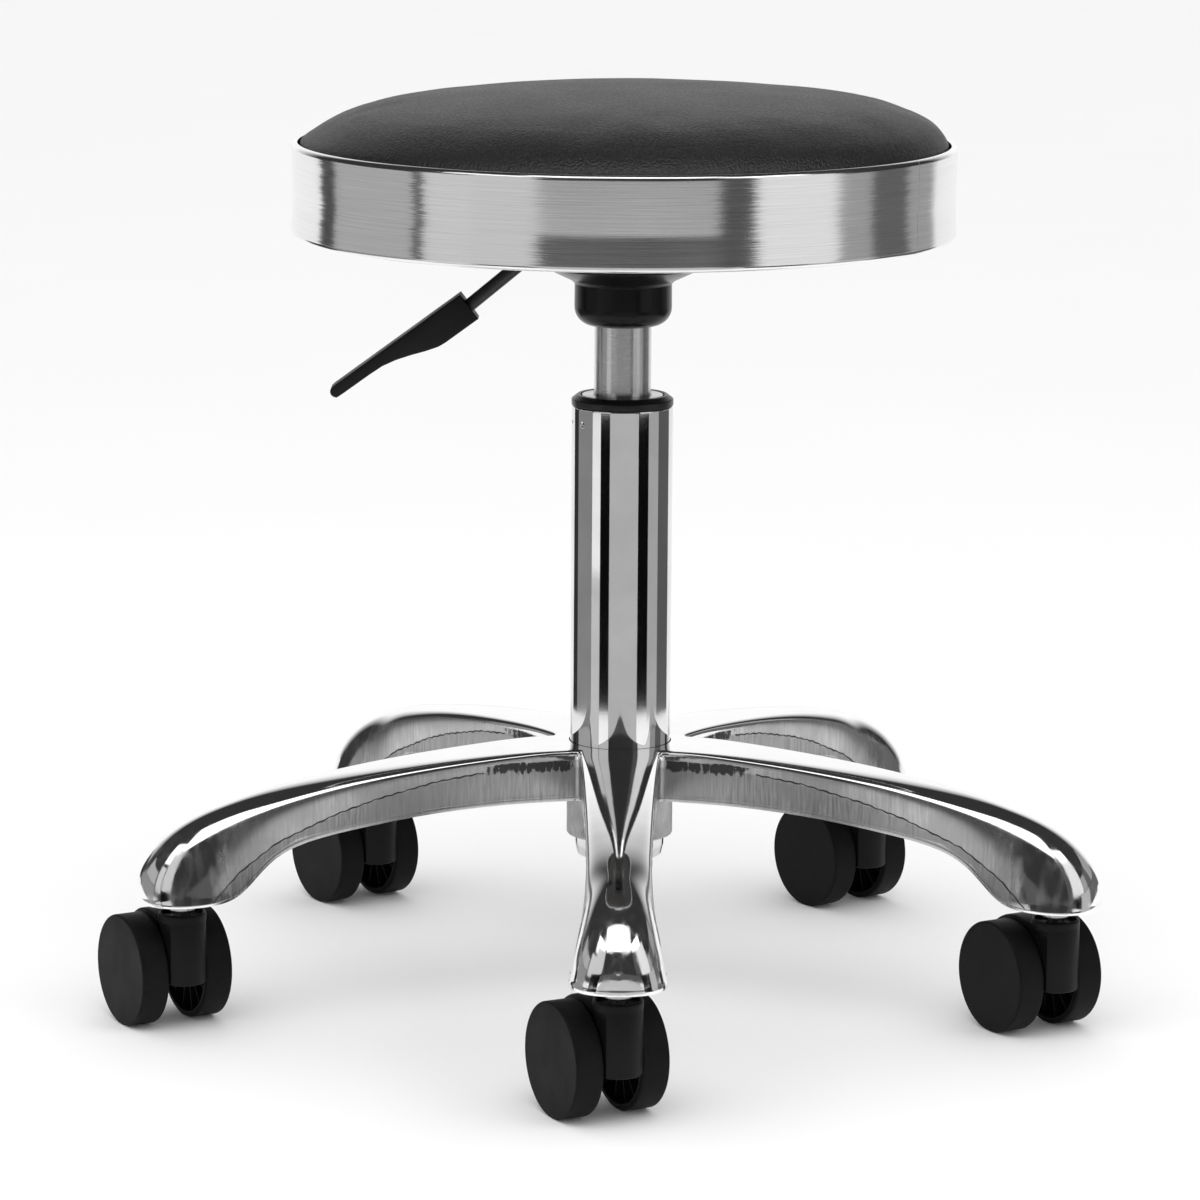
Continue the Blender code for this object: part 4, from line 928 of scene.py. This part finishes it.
def make_band():
    """Rolled sheet-steel band: shallow wall between a rounded shoulder and a rolled foot."""
    wall, sheet = BAND_R - 0.0007, 0.0012
    lip_r, lip_low, foot_r = 0.1591, BAND_TOP - 0.0026, 0.1575
    band = lathe("band", [
        (lip_r, lip_low, 0), (lip_r, BAND_TOP, 0.0007), (BAND_R, BAND_TOP, 0.0024),
        (wall, BAND_LOW + 0.0165, 0.0600), (BAND_R, BAND_LOW, 0.0024),
        (foot_r, BAND_LOW, 0.0005), (foot_r, BAND_LOW + 0.0010, 0),
        (wall - sheet, BAND_LOW + sheet, 0), (wall - sheet, BAND_TOP - sheet, 0),
        (lip_r + 0.0010, BAND_TOP - sheet, 0), (lip_r + 0.0010, lip_low, 0),
    ], 256)
    settle(band, BRUSHED_BAND, "seat", "brushed_stainless", "seat_band")


CUSHION_DOME = (
    (0.0, 0.4580), (0.0600, 0.4563), (0.1040, 0.4525), (0.1270, 0.4485), (0.1400, 0.4441),
    (0.1490, 0.4395), (0.1550, 0.4348), (0.1582, 0.4300), (0.1585, 0.4260),
)


def dome_height(radius):
    """Height of the cushion's crown at a distance from its centre, on a smooth curve."""
    knots = [(-CUSHION_DOME[1][0], CUSHION_DOME[1][1]), *CUSHION_DOME, CUSHION_DOME[-1]]
    for before, near, far, after in zip(knots, knots[1:], knots[2:], knots[3:]):
        if radius <= far[0]:
            wide = far[0] - near[0]
            share = (radius - near[0]) / wide
            leave = (far[1] - before[1]) / (far[0] - before[0]) * wide
            arrive = (after[1] - near[1]) / (after[0] - near[0]) * wide
            return (
                near[1] * (2 * share ** 3 - 3 * share ** 2 + 1)
                + leave * (share ** 3 - 2 * share ** 2 + share)
                + far[1] * (3 * share ** 2 - 2 * share ** 3)
                + arrive * (share ** 3 - share ** 2)
            )
    return CUSHION_DOME[-1][1]


def make_cushion():
    """Padded disc, tucked into the band and swelling over its lip."""
    edge = CUSHION_R - 0.0003
    tuck = BAND_TOP - 0.0040
    sink = 0.0012
    low, corner = CUSHION_LOW + 0.0003, 0.0060
    count = 44
    radii = [edge * math.sin(math.pi / 2 * k / count) for k in range(count)]
    profile = [(radius, dome_height(radius) - sink) for radius in radii]
    profile += [(edge, tuck), (edge, CUSHION_LOW + corner), (edge - corner, low), (0, low)]
    shape = bmesh.new()
    add_lathe(shape, profile, 160)
    cushion = new_piece("seat_cushion", shape, AXIS)
    blow_up(cushion)
    lean(cushion)
    settle(cushion, LEATHER, "seat", "black_leather", "cushion")


CLOTH_GRID, CLOTH_STEPS = 0.0045, 20       # size of the even mesh, and frames simulated
SHARED_MOVES, MOVE_REACH = 24, 0.009       # cloth points that move a point, and how far off
KEPT_MOVE, MOST_MOVE = 0.5, 0.0012         # share of the cloth's unevenness, and its limit
RING_STEP = 0.010


def blow_up(cushion):
    """Inflate an even copy as cloth held by the band. The dome is already the height of the
    filled cushion, so the fine mesh takes only the cloth's unevenness round each ring."""
    pad = add_object("pad", cushion.data.copy())
    remesh = pad.modifiers.new("even", "REMESH")
    remesh.mode = "VOXEL"
    remesh.voxel_size = CLOTH_GRID
    apply_modifiers(pad)
    rest = [vertex.co.copy() for vertex in pad.data.vertices]
    held = pad.vertex_groups.new(name="held")
    for vertex in pad.data.vertices:
        weight = 1 - ease(vertex.co.z, BAND_TOP - 0.0030, BAND_TOP + 0.0040)
        held.add([vertex.index], weight, "REPLACE")
    cloth = pad.modifiers.new("swell", "CLOTH")
    settings = cloth.settings
    settings.use_pressure = True
    settings.uniform_pressure_force = 4.0
    settings.vertex_group_mass = "held"
    settings.tension_stiffness = settings.compression_stiffness = 25.0
    settings.bending_stiffness = 2.0
    settings.quality = 6
    settings.effector_weights.gravity = 0.0
    cloth.point_cache.frame_start, cloth.point_cache.frame_end = 1, CLOTH_STEPS
    for step in range(1, CLOTH_STEPS + 1):
        bpy.context.scene.frame_set(step)
    apply_modifiers(pad)
    bpy.context.scene.frame_set(1)
    rises = [vertex.co.z - start.z for vertex, start in zip(pad.data.vertices, rest)]
    bpy.data.objects.remove(pad)
    usual = ring_means(rest, rises)
    tree = KDTree(len(rest))
    for index, place in enumerate(rest):
        tree.insert(place, index)
    tree.balance()
    for vertex in cushion.data.vertices:
        near = tree.find_n(vertex.co, SHARED_MOVES)
        shares = [math.exp(-(away / MOVE_REACH) ** 2) for _, _, away in near]
        rise = sum(rises[index] * share for (_, index, _), share in zip(near, shares))
        ring = min(vertex.co.xy.length / RING_STEP, len(usual) - 1.001)
        inner, share = usual[int(ring)], ring % 1
        uneven = rise / sum(shares) - inner - (usual[int(ring) + 1] - inner) * share
        uneven = max(-MOST_MOVE, min(MOST_MOVE, uneven * KEPT_MOVE))
        vertex.co.z += uneven * ease(vertex.co.z, BAND_TOP - 0.0020, BAND_TOP + 0.0060)


def ring_means(places, rises):
    """Average rise of the cloth's upper side on rings RING_STEP apart."""
    rings = [[] for _ in range(int(CUSHION_R / RING_STEP) + 2)]
    for place, rise in zip(places, rises):
        if place.z > BAND_TOP:
            rings[round(place.xy.length / RING_STEP)].append(rise)
    return [sum(ring) / len(ring) if ring else 0.0 for ring in rings]


def lean(cushion):
    """The padding sits slightly higher towards +X and lower towards -X."""
    for vertex in cushion.data.vertices:
        above = ease(vertex.co.z, BAND_TOP - 0.0020, BAND_TOP + 0.0080)
        share = vertex.co.x / CUSHION_R
        vertex.co.z += above * (0.0018 * share * abs(share) + 0.0006 * share)


# ---------------------------------------------------------------- release lever
ROD_R, ROD_SLOPE, ROD_IN_GRIP = 0.0033, math.radians(39.6), 0.0215
GRIP_SLOPE, GRIP_DEEP = math.radians(36.3), 0.0150


def make_lever():
    """Cranked rod and flat moulded grip with softened edges."""
    lever_z = JOINTS["release_lever"]["pos_m"][2]
    grip_end = Vector((AXIS.x - 0.0753, AXIS.y, 0.3489))
    back = Vector((math.cos(ROD_SLOPE), 0, math.sin(ROD_SLOPE)))
    corner = grip_end + back * ((lever_z - grip_end.z) / math.sin(ROD_SLOPE))
    points = [Vector((AXIS.x + 0.0035, AXIS.y, lever_z))]
    bend, bend_steps = 0.0080, 8
    for k in range(bend_steps + 1):
        share = k / bend_steps
        points.append(
            (corner + Vector((bend, 0, 0))) * (1 - share) ** 2
            + corner * 2 * share * (1 - share)
            + (corner - back * bend) * share ** 2
        )
    points.append(grip_end - back * ROD_IN_GRIP)
    curve = bpy.data.curves.new("lever_bar", "CURVE")
    curve.dimensions = "3D"
    curve.bevel_depth = ROD_R
    curve.bevel_resolution = 8
    curve.use_fill_caps = True
    spline = curve.splines.new("POLY")
    spline.points.add(len(points) - 1)
    for target, point in zip(spline.points, points):
        target.co = (*point, 1)
    bent = add_object("bent_bar", curve)
    shape = bmesh.new()
    shape.from_mesh(final_mesh(bent))
    bpy.data.objects.remove(bent)
    bmesh.ops.remove_doubles(shape, verts=shape.verts, dist=0.00001)
    settle(new_piece("lever_bar", shape), PAINTED_STEEL, "lever", "black_painted_steel",
           "lever_rod")

    edge = Vector((-math.cos(GRIP_SLOPE), -math.sin(GRIP_SLOPE)))
    below = Vector((math.sin(GRIP_SLOPE), -math.cos(GRIP_SLOPE)))
    start = Vector((grip_end.x, grip_end.z)) - below * (GRIP_DEEP / 2)
    outline = [
        (0.0, 0.0), (0.0766, 0.0), *arc(0.0778, 0.0030, 0.0030, -70, 62, 6),
        (0.0756, 0.0058), (0.0600, 0.0059), (0.0520, 0.0062), (0.0450, 0.0076),
        (0.0372, 0.0101), (0.0300, 0.0128), (0.0240, 0.0146), (0.0200, GRIP_DEEP),
        (0.0, GRIP_DEEP),
    ]
    places = [start + edge * s + below * h for s, h in outline]
    shape = bmesh.new()
    grip_low, grip_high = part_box("lever_grip")
    half = (grip_high.y - grip_low.y) / 2
    add_prism(shape, [(p.x, p.y) for p in places], -half, half, 0.0011)
    bmesh.ops.transform(shape, verts=shape.verts, matrix=Matrix(
        ((1, 0, 0, 0), (0, 0, -1, AXIS.y), (0, 1, 0, 0), (0, 0, 0, 1))
    ))
    grip = new_piece("lever_handle", shape, (0, 0, 0), 30)
    settle(grip, GRIP_PLASTIC, "lever", "matte_black_plastic", "lever_grip")


# ---------------------------------------------------------------- castors
WHEEL_R = JOINTS["castor_1_left_spin"]["pos_m"][2]
WHEEL_W, PAIR_W = 0.0142, 0.0480
RIB_COUNT = 14
PIN_R, PIN_RING_R = 0.0042, 0.0068
SOCKET_HOLE_R, RING_HOLE_R = 0.0046, 0.0103


def wheel_mesh():
    """Twin wheel, its inner side at height 0: flat outer face, deep ribbed recess."""
    shape = bmesh.new()
    web = WHEEL_W - 0.0045
    add_lathe(shape, rounded([
        (0, WHEEL_W, 0), (WHEEL_R, WHEEL_W, 0.0010), (WHEEL_R, 0, 0.0014),
        (WHEEL_R - 0.0031, 0, 0.0006), (WHEEL_R - 0.0036, web, 0.0010), (0.0064, web, 0.0008),
        (0.0062, 0.0004, 0.0003), (0.0032, 0.0004, 0), (0.0032, 0.0110, 0), (0, 0.0110, 0),
    ]), 96)
    for k in range(RIB_COUNT):
        rib = box((0.0058, -0.0005, 0.0022), (WHEEL_R - 0.0034, 0.0005, web + 0.0004))
        append(shape, rib, Matrix.Rotation(math.tau * k / RIB_COUNT, 4, "Z"))
    return smooth_mesh("wheel", shape, 40)


def body_mesh():
    """Castor body: mudguard and web between the wheels, upright socket, round top."""
    trail, fender, half = 0.0210, 0.0292, 0.0091
    top, low, boss = 0.0593, 0.0240, 0.0118
    shape = bmesh.new()
    guard = arc(trail, WHEEL_R, fender, 122, -8, 26) + arc(trail, WHEEL_R, 0.0080, -30, -150, 8)
    guard += [(0.0050, low + 0.0060), (0.0050, top - 0.0060)]
    part = bmesh.new()
    add_prism(part, guard, -half, half, 0.0010)
    append(shape, part, Matrix(((0, 0, 1, 0), (1, 0, 0, 0), (0, 1, 0, 0), (0, 0, 0, 1))))
    front = 0.0070
    side = math.degrees(math.asin(front / boss))
    plan = arc(0, 0, boss, 180 + side, 360 - side, 16)
    plan += [(half, -front), (half, 0.0100), (-half, 0.0100), (-half, -front)]
    add_prism(shape, plan, low, top - 0.0030, 0.0008)
    add_lathe(shape, rounded([
        (boss, top, 0.0012), (boss, 0.0550, 0.0006), (0.0080, 0.0470, 0),
        (SOCKET_HOLE_R, 0.0470, 0), (SOCKET_HOLE_R, top - 0.0022, 0),
        (RING_HOLE_R, top - 0.0022, 0), (RING_HOLE_R, top, 0.0005),
    ]), 64)
    return smooth_mesh("body", shape, 40)


def stem_mesh():
    shape = bmesh.new()
    add_lathe(shape, rounded([
        (0, 0.0900, 0), (PIN_R, 0.0900, 0.0008), (PIN_R, 0.0630, 0),
        (PIN_RING_R, 0.0630, 0.0006), (PIN_RING_R, 0.0600, 0.0006), (PIN_R, 0.0600, 0),
        (PIN_R, 0.0310, 0.0004), (0, 0.0310, 0),
    ]), 48)
    return smooth_mesh("stem", shape)


def place_piece(name, mesh, matrix, material, body, slot, node):
    obj = add_object(name, mesh)
    obj.matrix_world = matrix
    settle(obj, material, body, slot, node)


def make_castors():
    wheel, body, stem = wheel_mesh(), body_mesh(), stem_mesh()
    inner_face = PAIR_W / 2 - WHEEL_W
    for number in range(1, ARM_COUNT + 1):
        name = f"castor_{number}"
        pivot = Vector(JOINTS[f"{name}_swivel"]["pos_m"])
        axle = Vector(JOINTS[f"{name}_left_spin"]["axis"])
        centre = Vector(JOINTS[f"{name}_left_spin"]["pos_m"])
        turn = math.atan2(axle.y, axle.x)
        upright = Matrix.Translation((pivot.x, pivot.y, 0)) @ Matrix.Rotation(turn, 4, "Z")
        place_piece(f"{name}_body", body, upright, CASTOR_PLASTIC, name,
                    "matte_black_plastic", f"{name}_housing")
        place_piece(f"{name}_pin", stem, upright, GROUND_STEEL, "root", "satin_steel",
                    f"{name}_stem")
        for side, label in ((-1, "left"), (1, "right")):
            facing = (axle * side).to_track_quat("Z", "Y").to_matrix().to_4x4()
            matrix = Matrix.Translation(centre + axle * side * inner_face) @ facing
            place_piece(f"{name}_tread_{label}", wheel, matrix, WHEEL_PLASTIC,
                        f"{name}_{label}_wheel", "matte_black_plastic",
                        f"{name}_wheel_{label}")


# ---------------------------------------------------------------- nodes kept from the frame
def dress_kept_nodes():
    """Give the CAD nodes that stay in sight their materials."""
    kept = {
        "piston": BRASS, "bump_stop": RUBBER, "piston_seal": RUBBER,
        "cylinder_end_guide": COLLAR_PLASTIC, "socket_plate": PAINTED_STEEL,
        "seat_board": STAINED_BOARD,
    }
    for name, node in frame["nodes"].items():
        if node.hide_render:
            continue
        node.data.materials.clear()
        node.data.materials.append(kept.get(name, FRAME_STEEL))


# ---------------------------------------------------------------- studio
def camera_turn(yaw, pitch, roll):
    """Rotation of a camera that looks along +Y, turned by three small angles in radians."""
    forward = Vector((
        math.sin(yaw) * math.cos(pitch), math.cos(yaw) * math.cos(pitch), -math.sin(pitch),
    ))
    right = Vector((math.cos(yaw), -math.sin(yaw), 0))
    up = right.cross(forward)
    tilted = right * math.cos(roll) + up * math.sin(roll)
    upright = up * math.cos(roll) - right * math.sin(roll)
    return Matrix((tilted, upright, -forward)).transposed()


CAMERA_PLACE = (0, -2.4255, 0.6650)    # from the foot of the column axis
CAMERA_TURN = (-0.0043, 0.1886, 0.0066)
CAMERA_LENS, CAMERA_SENSOR = 149.33, 36.0


def make_camera():
    data = bpy.data.cameras.new("camera")
    data.lens, data.sensor_width = CAMERA_LENS, CAMERA_SENSOR
    camera = add_object("camera", data)
    turn = camera_turn(*CAMERA_TURN).to_4x4()
    camera.matrix_world = Matrix.Translation(AXIS + Vector(CAMERA_PLACE)) @ turn
    bpy.context.scene.camera = camera


LIGHTS_AIM = 0.25                      # height that the lights face


def soft_box(name, azimuth, elevation, distance, size, power):
    """An area light that faces the stool. Azimuth 0 is the camera's side, 90 is +X."""
    data = bpy.data.lights.new(name, "AREA")
    data.shape = "RECTANGLE"
    data.size, data.size_y = size
    data.energy = power
    light = add_object(name, data)
    a, e = math.radians(azimuth), math.radians(elevation)
    out = Vector((math.sin(a) * math.cos(e), -math.cos(a) * math.cos(e), math.sin(e)))
    light.location = AXIS + Vector((0, 0, LIGHTS_AIM)) + out * distance
    light.rotation_euler = out.to_track_quat("Z", "Y").to_euler()


def card(name, first, last, edges, glow):
    """A curved card that only reflections see, between two azimuths and two (distance,
    height) edges; azimuth 0 is the camera's side, 90 is +X."""
    shape = bmesh.new()
    count = 12
    columns = []
    for k in range(count + 1):
        angle = math.radians(first + (last - first) * k / count)
        out = Vector((math.sin(angle), -math.cos(angle), 0))
        columns.append([shape.verts.new(out * r + Vector((0, 0, z))) for r, z in edges])
    for low, high in zip(columns, columns[1:]):
        shape.faces.new((low[0], high[0], high[1], low[1]))
    obj = new_piece(name, shape, AXIS)
    look = Look(name, Roughness=1.0, Base_Color=BLACK, Specular_IOR_Level=0.0,
                Emission_Color=WHITE, Emission_Strength=glow)
    obj.data.materials.append(look.material)
    obj.visible_camera = obj.visible_diffuse = obj.visible_shadow = False


def make_floor():
    shape = bmesh.new()
    bmesh.ops.create_grid(shape, x_segments=1, y_segments=1, size=14.0)
    floor = new_piece("floor", shape)
    look = Look("floor", Roughness=0.9)
    look.colour(look.noise(look.place(), 3.0, 3.0), 0.90, 0.92)
    floor.data.materials.append(look.material)


SKY_GLOW, ROOM_GLOW = 1.07, 0.03       # for plain rays, and for reflections of the room


def make_world():
    """Plain white, but in reflections only the back is white and the rest is a dark room."""
    world = bpy.data.worlds.new("studio")
    bpy.context.scene.world = world
    world.use_nodes = True
    nodes = Nodes(world.node_tree)
    background = nodes.tree.nodes["Background"]
    background.inputs["Color"].default_value = WHITE
    direction = nodes.add("TexCoord").outputs["Generated"]
    _, away, up = nodes.add("SeparateXYZ", {0: direction}).outputs
    back = nodes.times(nodes.spread(away, 0.68, 0.92), nodes.spread(up, 0.62, 0.74, 1.0, 0.0))
    room = nodes.plus(back, ROOM_GLOW)
    glossy = nodes.add("LightPath").outputs["Is Glossy Ray"]
    plain = nodes.spread(glossy, 0.0, 1.0, SKY_GLOW, 0.0)
    strength = nodes.plus(plain, nodes.times(glossy, room))
    nodes.tree.links.new(strength, background.inputs["Strength"])


# Edges of the cards, each a (distance, height) pair for the near and the far edge
FLOOR_NEAR = ((0.50, 0.001), (2.30, 0.001))
FLOOR_FAR = ((2.30, 0.001), (3.66, 0.001))
FLOOR_SIDE = ((0.50, 0.001), (1.20, 0.001))
WALL_FAR = ((3.66, 0.0), (3.66, 0.60))
SKIRT = ((0.72, 0.001), (0.80, 0.183))
PANEL = ((0.80, 0.187), (0.80, 0.75))
TALL = ((0.95, 0.16), (0.95, 0.60))
LOW = ((0.95, 0.22), (0.95, 0.45))
RAMP = ((0.70, 0.001), (0.95, 0.21))


def make_studio():
    bpy.context.scene.view_settings.view_transform = "Standard"
    make_camera()
    make_world()
    make_floor()
    soft_box("key_left", -50, 40, 1.7, (0.8, 0.6), 2.0)
    soft_box("key_right", 52, 40, 1.7, (0.8, 0.6), 2.8)
    soft_box("overhead", 0, 58, 1.5, (1.2, 0.8), 4.5)
    for name, first, last, edges, glow in (
        ("floor_front", -27, 37, FLOOR_NEAR, 0.54),
        ("floor_far", -32, 37, FLOOR_FAR, 0.44),
        ("wall_far", -40, 44, WALL_FAR, 0.09),
        ("skirt_left", -49, -27, SKIRT, 0.004),
        ("panel_left", -49, -26.5, PANEL, 0.60),
        ("floor_left", -70, -49, FLOOR_SIDE, 0.62),
        ("light_left", -66.5, -50, TALL, 0.62),
        ("line_left", -70.5, -66.5, TALL, 0.10),
        ("grey_left", -109.5, -70.5, LOW, 0.42),
        ("edge_left", -119.5, -109.5, LOW, 0.05),
        ("ramp_left", -116, -70, RAMP, 0.27),
        ("ramp_edge_left", -136, -116, RAMP, 0.035),
        ("skirt_right", 37, 62, SKIRT, 0.004),
        ("post_right", 29.5, 41, PANEL, 0.08),
        ("panel_right", 41, 71, PANEL, 0.80),
        ("ramp_right", 62, 90, RAMP, 0.46),
        ("grey_right", 71, 87, LOW, 0.34),
        ("dark_right", 87, 106, LOW, 0.12),
        ("pale_right", 106, 125, LOW, 0.34),
        ("ramp_edge_right", 90, 131, RAMP, 0.12),
    ):
        card(name, first, last, edges, glow)


# ---------------------------------------------------------------- build
SEAM_TURN = math.radians(-31)

make_studio()
CAST_ALUMINIUM = cast_aluminium()
ROUGH_CASTING = rough_casting()
CHROME = chrome()
GROUND_STEEL = ground_steel("ground_steel")
SATIN_RING = ground_steel("satin_ring", dark=0.30, light=0.42)
FRAME_STEEL = ground_steel("frame_steel", AXIS)
BRUSHED_BAND = brushed_band()
BRASS = brass()
GLOSS_PLASTIC = plastic("gloss_plastic", 0.004, 0.20, 0.27, 500, 0.00002, 0.16)
COLLAR_PLASTIC = plastic("collar_plastic", 0.005, 0.28, 0.38, 900, 0.00006, 0.4)
GRIP_PLASTIC = plastic("grip_plastic", 0.005, 0.42, 0.52, 1600, 0.00014, 0.25)
CASTOR_PLASTIC = plastic("castor_plastic", 0.004, 0.42, 0.52, 1400, 0.00010, 0.15)
WHEEL_PLASTIC = plastic("wheel_plastic", 0.006, 0.42, 0.55, 1500, 0.00016, 0.07)
LEATHER = leather()
STAINED_BOARD = stained_board()
PAINTED_STEEL = painted_steel()
RUBBER = rubber()

make_base()
make_column()
make_bell()
make_band()
make_cushion()
make_lever()
make_castors()
dress_kept_nodes()
